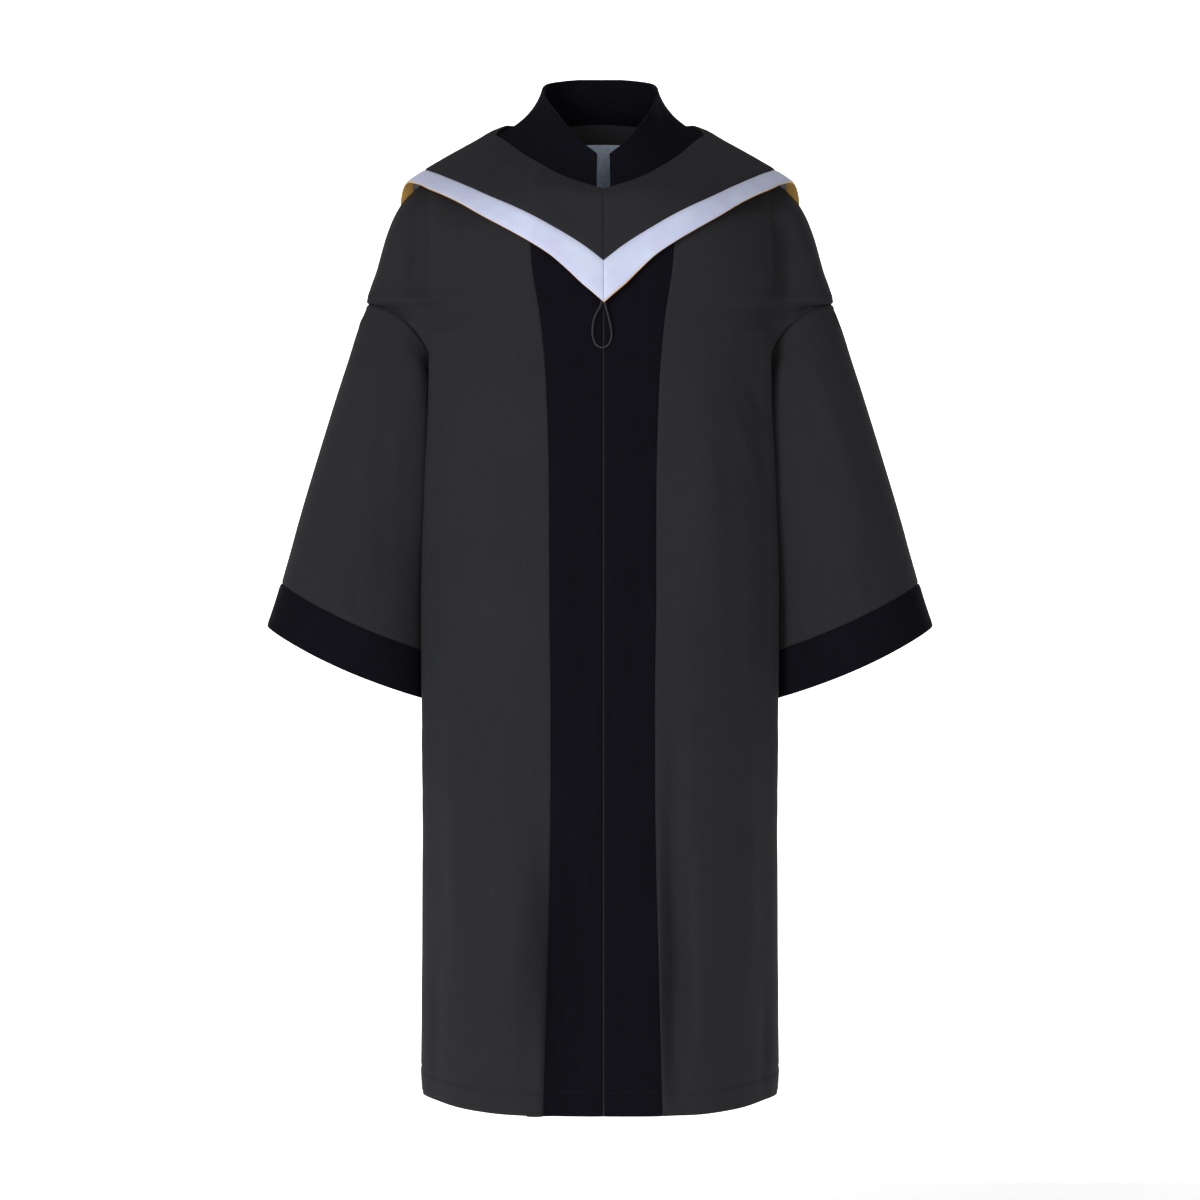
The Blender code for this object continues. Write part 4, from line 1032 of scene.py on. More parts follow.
@lru_cache(None)
def fine_places():
    """The body's rows from the hem to the neck, a few millimetres apart."""
    places = [depth / HEM_PLACE_LENGTH for depth in HEM_ROWS]
    for lower in range(NECK):
        below, above = section(lower), section(lower + 1)
        rise = max(abs(above[key] - below[key]) for key in ("front_z", "back_z", "edge_z"))
        steps = max(2, math.ceil(rise / ROW_SPACING))
        if lower == UNDERARM:
            steps = 180 // ARMHOLE_STEP
        places += [lower + k / steps for k in range(steps)]
    places.append(float(NECK))
    rows = []
    for place in sorted(places):
        if not rows or place - rows[-1] > LEAST_ROW_STEP:
            rows.append(round(place, PLACE_DIGITS))
    return tuple(rows)


def fine_columns(width, both=True):
    """Fractions across a panel, closer beside its seams."""
    steps = math.ceil(width / ROW_SPACING)
    last = 1 - EDGE_COLUMNS[-1]
    first = EDGE_COLUMNS[-1] if both else 0.0
    middle = [first + (last - first) * k / steps for k in range(1, steps)]
    start = list(EDGE_COLUMNS) if both else [0.0]
    return start + middle + [1 - edge for edge in reversed(EDGE_COLUMNS)]


def panel_rise(face, place, part, point, creases, edge):
    """How far a point of a body panel stands off the plain form."""
    length = body_row(face, place)[2]
    rise = unevenness(point) + crease_rise(creases, part * length, point.z)
    rise += seam_roll(edge) + hem_rise(point.z)
    if face == "front":
        near = 1 - ease((point.z - HEM_Z) / HEM_FLAT)
        rise -= fold_depth(face, part, length, section(place)["band"], point.z) * near
    return rise


def soften_shoulder(grid, places):
    """Even out the depth of a panel's rows near the armhole's top, away from the panel's edge."""
    plain = [[point.copy() for point in row] for row in grid]
    for i, place in enumerate(places):
        if abs(place - ARMHOLE_TOP) > SOFT_PLACES:
            continue
        for j, point in enumerate(plain[i]):
            share = ease((abs(point.x) - SOFT_FROM_X) / SOFT_EASE)
            share *= ease((plain[i][-1] - point).length / SOFT_EDGE)
            total, weight = 0.0, 0.0
            for row in plain[max(0, i - SOFT_ROWS):i + SOFT_ROWS + 1]:
                near = bump(row[j].z - point.z, SOFT_REACH) + SOFT_LEAST
                total += row[j].y * near
                weight += near
            grid[i][j].y += (total / weight - point.y) * share


def panel(face, side, columns, first, last, creases, folded=False, deep=()):
    """Fine points and outward directions of a panel of the body.

    A folded panel has no seam at its middle.
    """
    grid, normals = [], []
    for place in fine_places():
        start, end = first(place), last(place)
        length = body_row(face, place)[2]
        row, outs = [], []
        for column in columns:
            part = start + (end - start) * column
            point = body_point(face, place, part)
            out = body_normal(face, place, part)
            edge = (end - part) * length
            if not folded:
                edge = min(edge, (part - start) * length)
            rise = panel_rise(face, place, part, point, creases, edge)
            back = Vector((0.0, -crease_rise(deep, point.x, point.z), 0.0))
            row.append(settle(point + out * rise + back, side))
            outs.append(mirror(out, side))
        grid.append(row)
        normals.append(outs)
    soften_shoulder(grid, fine_places())
    return grid, normals


def metre_uvs(grid):
    """Flat positions of a grid's points in metres: along each row, and down its middle column."""
    middle = len(grid[0]) // 2
    ups = [0.0]
    for below, above in zip(grid, grid[1:]):
        ups.append(ups[-1] + (above[middle] - below[middle]).length)
    flat = []
    for row, up in zip(grid, ups):
        runs = [0.0]
        for a, b in zip(row, row[1:]):
            runs.append(runs[-1] + (b - a).length)
        flat.append([(run, up) for run in runs])
    return flat


def tuck(edge, inner, outs, depth, reaches):
    """Three lines in place of an edge: the edge turned down, and its allowance under the piece beside it."""
    lines = ([], [], [])
    for spot, before, out, reach in zip(edge, inner, outs, reaches):
        on = (spot - before).normalized()
        down = out * min(depth + TUCK_CLEAR, reach)
        lines[0].append(spot - down * TUCK_TURN)
        lines[1].append(spot + on * min(TUCK_STEP, reach / 2) - down)
        lines[2].append(spot + on * reach - down)
    return lines


def tuck_rows(grid, normals, first, last):
    """A grid with an allowance of a depth beyond its first and last rows, where the depth isn't zero."""
    whole = [TUCK_REACH] * len(grid[0])
    rows = list(grid)
    if first:
        rows = list(reversed(tuck(grid[0], grid[1], normals[0], first, whole))) + rows[1:]
    if last:
        rows = rows[:-1] + list(tuck(grid[-1], grid[-2], normals[-1], last, whole))
    return rows


def tuck_columns(grid, normals, first, last, reaches):
    """A grid with an allowance beyond its first and last columns, as far as each row's reach."""
    columns = [[row[j] for row in grid] for j in range(len(grid[0]))]
    outs = [[row[j] for row in normals] for j in (0, -1)]
    if first:
        turned = tuck(columns[0], columns[1], outs[0], first, reaches)
        columns = list(reversed(turned)) + columns[1:]
    if last:
        columns = columns[:-1] + list(tuck(columns[-1], columns[-2], outs[1], last, reaches))
    return [[column[i] for column in columns] for i in range(len(grid))]


def add_object(name, data):
    """A new object of the scene."""
    made = bpy.data.objects.new(name, data)
    bpy.context.scene.collection.objects.link(made)
    return made


def add_mesh(name, bm, *materials):
    """An object of a finished bmesh, with its materials."""
    mesh = bpy.data.meshes.new(name)
    bm.to_mesh(mesh)
    bm.free()
    for material in materials:
        mesh.materials.append(material)
    return add_object(name, mesh)


def lay(name, grid, normals, thickness, material, ring=False, rim=0.0, rows=(0, 0), sides=(0, 0), reaches=()):
    """A piece of cloth on a grid of points, with its thickness behind it.

    The depths of the allowances at its first and last rows and columns are given where it has them.
    """
    grids[name] = (grid, normals)
    if any(rows):
        grid = tuck_rows(grid, normals, *rows)
    if any(sides):
        grid = tuck_columns(grid, normals, *sides, reaches)
    if ring:
        grid = [row + row[:1] for row in grid]
    down, across = len(grid), len(grid[0])
    bm = bmesh.new()
    bmesh.ops.create_grid(bm, x_segments=across - 1, y_segments=down - 1, size=0.5)
    if len(bm.verts) != down * across:
        raise RuntimeError(f"{name}: the grid has {len(bm.verts)} points, and not {down * across}")
    uv_layer = bm.loops.layers.uv.new("UVMap")
    flat = metre_uvs(grid)
    spots = {}
    for vert in bm.verts:
        spots[vert] = (round((vert.co.y + 0.5) * (down - 1)), round((vert.co.x + 0.5) * (across - 1)))
    for face in bm.faces:
        face.smooth = True
        for loop in face.loops:
            i, j = spots[loop.vert]
            loop[uv_layer].uv = flat[i][j]
    for vert, (i, j) in spots.items():
        vert.co = grid[i][j]
    bm.normal_update()
    i, j = len(grids[name][0]) // 2, len(grids[name][0][0]) // 2
    spot = grids[name][0][i][j]
    middle = min(bm.verts, key=lambda vert: (vert.co - spot).length)
    if middle.normal.dot(normals[i][j]) < 0:
        bmesh.ops.reverse_faces(bm, faces=bm.faces)
    if ring:
        bmesh.ops.remove_doubles(bm, verts=bm.verts, dist=WELD)
    for edge in bm.edges:
        edge.smooth = not edge.is_boundary
    piece = add_mesh(name, bm, material)
    solidify = piece.modifiers.new("Thickness", "SOLIDIFY")
    solidify.thickness = thickness
    solidify.offset = -1.0
    solidify.use_quality_normals = True
    if rim:
        bevel = piece.modifiers.new("Soft rim", "BEVEL")
        bevel.width = rim
        bevel.segments = 2
        bevel.limit_method = "ANGLE"
        bevel.angle_limit = math.radians(RIM_ANGLE)
    return piece


def declare(piece, node):
    """Hang a piece of cloth from the root, and hide the solid it stands for."""
    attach(piece, "root")
    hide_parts(node)


def join_halves(right, left):
    """One grid from two halves that share their middle column."""
    return [list(reversed(r))[:-1] + l for r, l in zip(right, left)]


def armhole_line(end):
    """The body's edge round one armhole as it is laid, and the body's outward directions there."""
    creases = {"front": FRONT_CREASES[end], "back": BACK_CREASES[end]}
    line = []
    for angle in SLEEVE_ANGLES:
        face = "front" if angle <= 180 else "back"
        place = round(ARMHOLE_TOP - min(angle, 360 - angle) / 180, PLACE_DIGITS)
        point, out = body_point(face, place, 1.0), body_normal(face, place, 1.0)
        spot = point + out * panel_rise(face, place, 1.0, point, creases[face], 0.0)
        if face == "front":
            spot.y -= crease_rise(DEEP_FOLDS[end], point.x, point.z)
        line.append((spot, out))
    return line


def fine_sleeve(first, last, steps, proud, end):
    """Fine rings of a side's sleeve or cuff between two places, with their outward directions."""
    places = [first + (last - first) * k / steps for k in range(steps + 1)]
    ends = [first + (last - first) * edge for edge in EDGE_COLUMNS[1:]]
    places += ends + [first + last - place for place in ends]
    places = sorted({round(place, PLACE_DIGITS) for place in places})
    grid = [[ring_point(place, angle) for angle in SLEEVE_ANGLES] for place in places]
    plain = grid_normals(grid, ring=True)
    line = armhole_line(end)
    for k, (point, out) in enumerate(line):
        along = line[(k + 1) % len(line)][0] - line[k - 1][0]
        shift = point + out.cross(along).normalized() * SEAM / 2 - ring_point(0, SLEEVE_ANGLES[k])
        for i, place in enumerate(places):
            grid[i][k] = grid[i][k] + shift * (1 - ease(place / ARMHOLE_FADE))
    for i, place in enumerate(places):
        edge = (last - place if first == 0 else min(place - first, last - place)) * SLEEVE_PLACE
        own = ease(place / ARMHOLE_OWN)
        for k, angle in enumerate(SLEEVE_ANGLES):
            rise = proud + unevenness(grid[i][k]) * own + seam_roll(edge)
            for middle, half_width, height, start, full in SLEEVE_FOLDS:
                ramp = ease((place - start) / SLEEVE_FOLD_IN) * ease((full - place) / SLEEVE_FOLD_OUT)
                rise += height * ramp * bump(angle - middle, half_width)
            rise += crease_rise(SLEEVE_CREASES[end], angle * SLEEVE_DEGREE, -place * SLEEVE_PLACE) * own
            rise += ARMHOLE_BULGE * bump(place - ARMHOLE_BULGE_AT, ARMHOLE_BULGE_AT)
            grid[i][k] = grid[i][k] + plain[i][k] * rise
    return grid, grid_normals(grid, ring=True)


def to_side(grid, normals, side):
    """A half's points and directions on its side of the gown."""
    points = [[settle(point, side) for point in row] for row in grid]
    outs = [[mirror(out, side) for out in row] for row in normals]
    return points, outs


def smooth_line(keys, samples):
    """More points on the smooth curve through a row of points."""
    first = (keys[1] - keys[0]).normalized()
    last = (keys[-1] - keys[-2]).normalized()
    return soft_curve(keys, first, last, samples)


def finer(grid, across, down):
    """A grid with more points, on smooth curves through the given ones."""
    rows = [smooth_line(row, across) for row in grid]
    columns = [smooth_line([row[j] for row in rows], down) for j in range(len(rows[0]))]
    return [[column[i] for column in columns] for i in range(len(columns[0]))]


@lru_cache(None)
def hood_grid():
    """Fine inner points of half the hood from the neckline to its outer edge, and their directions."""
    grid, normals = hood_surface()
    for i, drop in enumerate(HOOD_SETTLE):
        for j, out in enumerate(normals[i]):
            grid[i][j] = grid[i][j] - out * drop
    fine = finer(grid, HOOD_ACROSS, HOOD_DOWN)
    outs = grid_normals(fine)
    for i, row in enumerate(fine):
        for j, out in enumerate(outs[i]):
            lift = SHOULDER_LIFT * bump(hood_angle(j) - SHOULDER_LIFT_ANGLE, SHOULDER_LIFT_REACH)
            row[j] = row[j] + out * lift * (i / (len(fine) - 1)) ** 2
    outs = grid_normals(fine)
    for row in outs:
        face_straight(row)
    return fine, outs


def hood_angle(j):
    """The angle round from the front of a fine column of the hood."""
    k = min(j // HOOD_ACROSS, len(HOOD_ANGLES) - 2)
    return HOOD_ANGLES[k] + (HOOD_ANGLES[k + 1] - HOOD_ANGLES[k]) * (j - k * HOOD_ACROSS) / HOOD_ACROSS


def hood_part(first, last, thickness, creases, roll_top, roll_bottom):
    """Outer points and directions of the hood between two of its fine rows."""
    fine, outs = hood_grid()
    rows = [list(row) for row in fine[first:last + 1]]
    if roll_top:
        rows[0] = shorten(fine, first, first + 1, SEAM / 2)
    if roll_bottom:
        rows[-1] = shorten(fine, last, last - 1, SEAM / 2)
    grid = []
    for i, row in enumerate(rows):
        line = []
        for j, point in enumerate(row):
            edges = [abs(point.x)]
            if roll_top:
                edges.append((point - rows[0][j]).length)
            edges.append((point - rows[-1][j]).length)
            rise = thickness + unevenness(point) + seam_roll(min(edges))
            rise += crease_rise(creases, hood_angle(j) * HOOD_DEGREE, point.z)
            line.append(point + outs[first + i][j] * rise)
        grid.append(line)
    return grid, outs[first:last + 1]


def walk(points, outs, pitch):
    """Places along a line at an even pitch: the point, the way on and the way out."""
    run = pitch / 2
    found = []
    for a, b, out in zip(points, points[1:], outs):
        length = (b - a).length
        while run < length:
            found.append((a.lerp(b, run / length), (b - a).normalized(), out))
            run += pitch
        run -= length
    return found


def beads(name, spots, size, material):
    """Many small rounded bits as one mesh, such as stitches or zip teeth, made in lots for speed."""
    whole = bmesh.new()
    for start in range(0, len(spots), BEAD_LOT):
        bm = bmesh.new()
        for point, along, out in spots[start:start + BEAD_LOT]:
            aside = out.cross(along).normalized()
            up = along.cross(aside).normalized()
            turn = Matrix((along, aside, up)).transposed().to_4x4()
            place = Matrix.Translation(point) @ turn @ Matrix.Diagonal((*size, 1.0))
            bmesh.ops.create_uvsphere(bm, u_segments=6, v_segments=4, radius=0.5, matrix=place)
        lot = bpy.data.meshes.new("lot")
        bm.to_mesh(lot)
        bm.free()
        whole.from_mesh(lot)
        bpy.data.meshes.remove(lot)
    for face in whole.faces:
        face.smooth = True
    piece = add_mesh(name, whole, material)
    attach(piece, "root")
    return piece


def edge_stitches(name):
    """Places for the stitches along the first and last rows of a piece."""
    grid, normals = grids[name]
    spots = []
    for edge, inward in ((0, 1), (-1, -2)):
        spots += walk(shorten(grid, edge, inward, STITCH_INSET), normals[edge], STITCH_PITCH)
    return spots


def new_material(name, colour, roughness, specular=0.5, sheen=0.0, sheen_roughness=0.5, sheen_tint=WHITE):
    """A material with its shader's plain values set: its node tree and its shader."""
    made = bpy.data.materials.new(name)
    made.use_nodes = True
    tree = made.node_tree
    shader = tree.nodes["Principled BSDF"]
    shader.inputs["Base Color"].default_value = (*colour, 1.0)
    shader.inputs["Roughness"].default_value = roughness
    shader.inputs["Specular IOR Level"].default_value = specular
    shader.inputs["Sheen Weight"].default_value = sheen
    shader.inputs["Sheen Roughness"].default_value = sheen_roughness
    shader.inputs["Sheen Tint"].default_value = (*sheen_tint, 1.0)
    return tree, shader


def coordinates(tree, kind, scale=(1.0, 1.0, 1.0), turn=0.0):
    """Object or UV coordinates, scaled and turned."""
    if kind == "UV":
        source = tree.nodes.new("ShaderNodeUVMap")
        source.uv_map = "UVMap"
        output = source.outputs["UV"]
    else:
        source = tree.nodes.new("ShaderNodeTexCoord")
        output = source.outputs["Object"]
    mapping = tree.nodes.new("ShaderNodeMapping")
    mapping.inputs["Scale"].default_value = scale
    mapping.inputs["Rotation"].default_value = (0.0, 0.0, turn)
    tree.links.new(output, mapping.inputs["Vector"])
    return mapping.outputs["Vector"]


def threads(tree, pitch, direction="X", distortion=0.0, kind="UV", turn=0.0):
    """Waves across the cloth, one for each thread."""
    wave = tree.nodes.new("ShaderNodeTexWave")
    wave.wave_type = "BANDS"
    wave.bands_direction = direction
    wave.inputs["Scale"].default_value = WAVE_REPEAT / pitch
    wave.inputs["Distortion"].default_value = distortion
    wave.inputs["Detail"].default_value = 1.0
    tree.links.new(coordinates(tree, kind, turn=turn), wave.inputs["Vector"])
    return wave.outputs["Fac"]


def clouds(tree, size, detail=3.0, roughness=0.5, kind="Object", scale=(1.0, 1.0, 1.0)):
    """Soft noise with patches of a size."""
    texture = tree.nodes.new("ShaderNodeTexNoise")
    texture.inputs["Scale"].default_value = 1 / size
    texture.inputs["Detail"].default_value = detail
    texture.inputs["Roughness"].default_value = roughness
    tree.links.new(coordinates(tree, kind, scale), texture.inputs["Vector"])
    return texture.outputs["Fac"]


def blended(tree, factor, low, high, dark, light):
    """A colour between two, as a factor goes from low to high."""
    ramp = tree.nodes.new("ShaderNodeValToRGB")
    for element, place, colour in zip(ramp.color_ramp.elements, (low, high), (dark, light)):
        element.position = place
        element.color = (*colour, 1.0)
    tree.links.new(factor, ramp.inputs["Fac"])
    return ramp.outputs["Color"]


def scaled(colour, amount):
    """A colour made darker or lighter."""
    return tuple(channel * amount for channel in colour)


def toned(tree, factor, low, high, base, dark, light):
    """A colour from its darker to its lighter tone, as a factor goes from low to high."""
    return blended(tree, factor, low, high, scaled(base, dark), scaled(base, light))


def painted(tree, shader, first, *others):
    """Colour the shader, with a colour multiplied by any others."""
    for other in others:
        mix = tree.nodes.new("ShaderNodeMix")
        mix.data_type = "RGBA"
        mix.blend_type = "MULTIPLY"
        mix.inputs["Factor"].default_value = 1.0
        tree.links.new(first, mix.inputs["A"])
        tree.links.new(other, mix.inputs["B"])
        first = mix.outputs["Result"]
    tree.links.new(first, shader.inputs["Base Color"])


def summed(tree, first, second, share):
    """The first value plus a share of the second."""
    add = tree.nodes.new("ShaderNodeMath")
    add.operation = "MULTIPLY_ADD"
    add.inputs[1].default_value = share
    tree.links.new(second, add.inputs[0])
    tree.links.new(first, add.inputs[2])
    return add.outputs["Value"]


def bumped(tree, shader, height, distance, strength):
    """Raise the surface by a height texture."""
    rise = tree.nodes.new("ShaderNodeBump")
    rise.inputs["Strength"].default_value = strength
    rise.inputs["Distance"].default_value = distance
    tree.links.new(height, rise.inputs["Height"])
    tree.links.new(rise.outputs["Normal"], shader.inputs["Normal"])


def twill_cloth(name):
    """Matt charcoal cloth in a fine twill, with faint slubs and clouds."""
    base = tuple(bpy.context.scene.gown_colours.cloth)
    pitch = bpy.context.scene.gown_sizes.thread_pitch
    tree, shader = new_material(
        name, base, roughness=0.85, specular=0.10,
        sheen=0.03, sheen_roughness=0.45, sheen_tint=(0.75, 0.77, 0.85))
    twill = threads(tree, pitch, "X", distortion=0.4, turn=math.radians(27))
    weft = threads(tree, pitch * 0.8, "Y", distortion=0.6)
    slubs = clouds(tree, size=0.0016, detail=2.0, kind="UV", scale=(1.0, 0.06, 1.0))
    patches = clouds(tree, size=0.11)
    tone = toned(tree, patches, 0.30, 0.72, base, 0.95, 1.05)
    yarn = blended(tree, slubs, 0.25, 0.80, (0.91, 0.91, 0.91), (1.07, 1.07, 1.08))
    lines = toned(tree, twill, 0.10, 0.90, WHITE, 0.86, 1.08)
    painted(tree, shader, tone, yarn, lines)
    height = summed(tree, summed(tree, twill, weft, share=0.6), slubs, share=0.8)
    bumped(tree, shader, height, distance=0.00016, strength=0.7)


def velvet(name):
    """Short dark pile: nap brushed in soft streaks, and a sheen at its edges."""
    base = tuple(bpy.context.scene.gown_colours.velvet)
    tree, shader = new_material(
        name, base, roughness=0.95, specular=0.03,
        sheen=0.20, sheen_roughness=0.30, sheen_tint=(0.16, 0.16, 0.22))
    streaks = clouds(tree, size=0.020, detail=4.0, roughness=0.6, kind="UV", scale=(1.0, 0.25, 1.0))
    pile = clouds(tree, size=0.0007, detail=2.0, roughness=0.7)
    nap = toned(tree, streaks, 0.32, 0.70, base, 0.92, 1.12)
    tips = blended(tree, pile, 0.30, 0.75, (0.70, 0.70, 0.72), (1.35, 1.35, 1.45))
    painted(tree, shader, nap, tips)
    bumped(tree, shader, summed(tree, pile, streaks, share=0.6), distance=0.0003, strength=0.7)


def cloudy_satin(name):
    """Pale lavender satin with cool clouds and a fine lengthwise thread."""
    base = tuple(bpy.context.scene.gown_colours.satin)
    tree, shader = new_material(name, base, roughness=0.42, specular=0.45, sheen=0.15, sheen_roughness=0.3)
    patches = clouds(tree, size=0.030, detail=4.0, roughness=0.55)
    tone = blended(tree, patches, 0.35, 0.66, scaled(base, 0.95), (0.56, 0.62, 0.78))
    thread = threads(tree, 0.0005, "Y", distortion=0.5)
    lines = blended(tree, thread, 0.0, 1.0, (0.95, 0.95, 0.96), (1.03, 1.03, 1.03))
    painted(tree, shader, tone, lines)
    bumped(tree, shader, summed(tree, thread, patches, share=2.0), distance=0.00012, strength=0.5)


def gold_satin(name):
    """Gold lining satin."""
    base = tuple(bpy.context.scene.gown_colours.gold)
    tree, shader = new_material(
        name, base, roughness=0.36, sheen=0.25, sheen_roughness=0.3, sheen_tint=(1.0, 0.85, 0.5))
    shader.inputs["Metallic"].default_value = 0.25
    painted(tree, shader, toned(tree, clouds(tree, size=0.015), 0.3, 0.7, base, 0.80, 1.18))
    bumped(tree, shader, threads(tree, 0.0005, "Y", distortion=0.5), distance=0.00010, strength=0.5)


def label_cloth(name):
    """A blue-grey label woven in fine ribs."""
    base = tuple(bpy.context.scene.gown_colours.label)
    tree, shader = new_material(name, base, roughness=0.62, sheen=0.2)
    ribs = threads(tree, 0.0007, "Y", distortion=0.3)
    across = threads(tree, 0.0004, "X", distortion=0.3)
    tone = toned(tree, clouds(tree, size=0.004), 0.3, 0.7, base, 0.86, 1.15)
    lines = blended(tree, ribs, 0.1, 0.9, (0.78, 0.78, 0.80), (1.12, 1.12, 1.12))
    painted(tree, shader, tone, lines)
    bumped(tree, shader, summed(tree, ribs, across, share=0.5), distance=0.00018, strength=0.7)


def tape_cloth(name):
    """The zip's dark herringbone tape."""
    base = tuple(bpy.context.scene.gown_colours.trim)
    tree, shader = new_material(name, base, roughness=0.75, sheen=0.1)
    rise = threads(tree, 0.0009, "X", distortion=0.2, turn=math.radians(45))
    painted(tree, shader, toned(tree, rise, 0.1, 0.9, base, 0.75, 1.25))
    bumped(tree, shader, rise, distance=0.00015, strength=0.7)


def plastic(name, colour, roughness):
    """Moulded nylon or painted metal with a faint orange peel."""
    tree, shader = new_material(name, colour, roughness, specular=0.3)
    peel = clouds(tree, size=0.0006, detail=2.0)
    painted(tree, shader, toned(tree, peel, 0.3, 0.7, colour, 0.85, 1.15))
    bumped(tree, shader, peel, distance=0.00004, strength=0.5)


def twisted_cord(name):
    """Dark grey cord with its twist."""
    base = tuple(bpy.context.scene.gown_colours.cord)
    tree, shader = new_material(name, base, roughness=0.60, specular=0.15, sheen=0.05)
    twist = threads(tree, 0.0011, "DIAGONAL", distortion=0.8, kind="Object", turn=math.radians(35))
    painted(tree, shader, toned(tree, twist, 0.15, 0.85, base, 0.60, 1.30))
    bumped(tree, shader, twist, distance=0.00025, strength=0.9)


def sewing_thread(name, colour):
    """Thread of the topstitching."""
    tree, shader = new_material(name, colour, roughness=0.60, specular=0.08, sheen=0.05)
    fibre = clouds(tree, size=0.0004, detail=2.0)
    painted(tree, shader, toned(tree, fibre, 0.3, 0.7, colour, 0.8, 1.2))


def paper(name, glow):
    """Matt white paper, with a glow for the light thrown back at it."""
    _, shader = new_material(name, PAPER_COLOUR, roughness=0.9, specular=0.1)
    shader.inputs["Emission Color"].default_value = (*WHITE, 1.0)
    shader.inputs["Emission Strength"].default_value = glow


def shared(name, make, *details):
    """A material made once, from its name and details, and used by each piece of it."""
    if name not in bpy.data.materials:
        make(name, *details)
    return bpy.data.materials[name]


class GownSizes(bpy.types.PropertyGroup):
    """Sizes of the cloth that a user may change."""

    cloth: FloatProperty(
        name="Cloth", description="Thickness of the charcoal cloth",
        default=CLOTH, unit="LENGTH", precision=4)
    velvet: FloatProperty(
        name="Velvet", description="Thickness of the velvet",
        default=VELVET, unit="LENGTH", precision=4)
    collar: FloatProperty(
        name="Collar", description="Thickness of the stiffened collar",
        default=COLLAR, unit="LENGTH", precision=4)
    satin: FloatProperty(
        name="Satin", description="Thickness of the hood's border",
        default=SATIN, unit="LENGTH", precision=4)
    thread_pitch: FloatProperty(
        name="Twill pitch", description="Distance between the twill's lines",
        default=0.0009, unit="LENGTH", precision=5)
    soft_rim: FloatProperty(
        name="Soft rim", description="Rounding of the velvet's edges",
        default=0.0006, unit="LENGTH", precision=4)


class GownColours(bpy.types.PropertyGroup):
    """Colours of the gown, as linear values."""

    cloth: FloatVectorProperty(
        name="Cloth", description="Charcoal cloth",
        subtype="COLOR", default=(0.0215, 0.0216, 0.0240))
    velvet: FloatVectorProperty(
        name="Velvet", description="Velvet bands, cuffs and collar",
        subtype="COLOR", default=(0.0050, 0.0049, 0.0072))
    satin: FloatVectorProperty(
        name="Satin", description="Hood's border",
        subtype="COLOR", default=(0.55, 0.58, 0.78))
    gold: FloatVectorProperty(
        name="Gold", description="Hood's lining",
        subtype="COLOR", default=(0.70, 0.45, 0.12))
    label: FloatVectorProperty(
        name="Label", description="Label inside the back",
        subtype="COLOR", default=(0.55, 0.66, 0.82))
    trim: FloatVectorProperty(
        name="Zip", description="Zip tape and slider",
        subtype="COLOR", default=(0.012, 0.012, 0.014))
    teeth: FloatVectorProperty(
        name="Zip teeth", description="Zip's coil",
        subtype="COLOR", default=(0.03, 0.03, 0.033))
    cord: FloatVectorProperty(
        name="Cord", description="Hood's loop",
        subtype="COLOR", default=(0.030, 0.030, 0.035))


class GOWN_OT_side_fronts(bpy.types.Operator):
    """Lay the two charcoal fronts beside the velvet bands"""

    bl_idname = "gown.side_fronts"
    bl_label = "Side fronts"

    def execute(self, context):
        cloth = shared("charcoal_twill", twill_cloth)
        columns = fine_columns(SIDE_FRONT_WIDTH)
        for side, end in ENDS:
            grid, normals = panel(
                "front", side, columns,
                lambda place: band_part(place) + seam_part("front", place),
                lambda place: edge_part("front", place),
                FRONT_CREASES[end], deep=DEEP_FOLDS[end])
            piece = lay("side_front_" + end, grid, normals, context.scene.gown_sizes.cloth, cloth,
                        sides=(VELVET, 0), reaches=[TUCK_REACH] * len(grid))
            declare(piece, "front_" + end)
        return {"FINISHED"}


class GOWN_OT_front_bands(bpy.types.Operator):
    """Lay the two velvet bands down the front"""

    bl_idname = "gown.front_bands"
    bl_label = "Velvet front bands"

    def execute(self, context):
        sizes = context.scene.gown_sizes
        pile = shared("black_velvet", velvet)
        columns = fine_columns(FRONT_BAND_WIDTH)
        for side, end in ENDS:
            grid, normals = panel(
                "front", side, columns,
                lambda place: part_at_x("front", place, ZIP_GAP / 2),
                lambda place: band_part(place) - seam_part("front", place),
                (), deep=DEEP_FOLDS[end])
            piece = lay("velvet_band_" + end, grid, normals, sizes.velvet, pile, rim=sizes.soft_rim)
            declare(piece, "band_" + end)
        return {"FINISHED"}


class GOWN_OT_back(bpy.types.Operator):
    """Lay the back, cut in one piece on its middle fold"""

    bl_idname = "gown.back"
    bl_label = "Back"

    def execute(self, context):
        columns = fine_columns(HALF_BACK_WIDTH, both=False)
        halves = {}
        for side, end in ENDS:
            halves[end] = panel(
                "back", side, columns,
                lambda place: 0.0,
                lambda place: edge_part("back", place),
                BACK_CREASES[end], folded=True)
        grid = join_halves(halves["right"][0], halves["left"][0])
        normals = join_halves(halves["right"][1], halves["left"][1])
        cloth = shared("charcoal_twill", twill_cloth)
        reaches = []
        for place in fine_places():
            reaches.append(TUCK_REACH if armhole_angle(place) is None else TUCK_AT_ARMHOLE)
        piece = lay("gown_back", grid, normals, context.scene.gown_sizes.cloth, cloth,
                    sides=(CLOTH, CLOTH), reaches=reaches)
        declare(piece, "back")
        return {"FINISHED"}


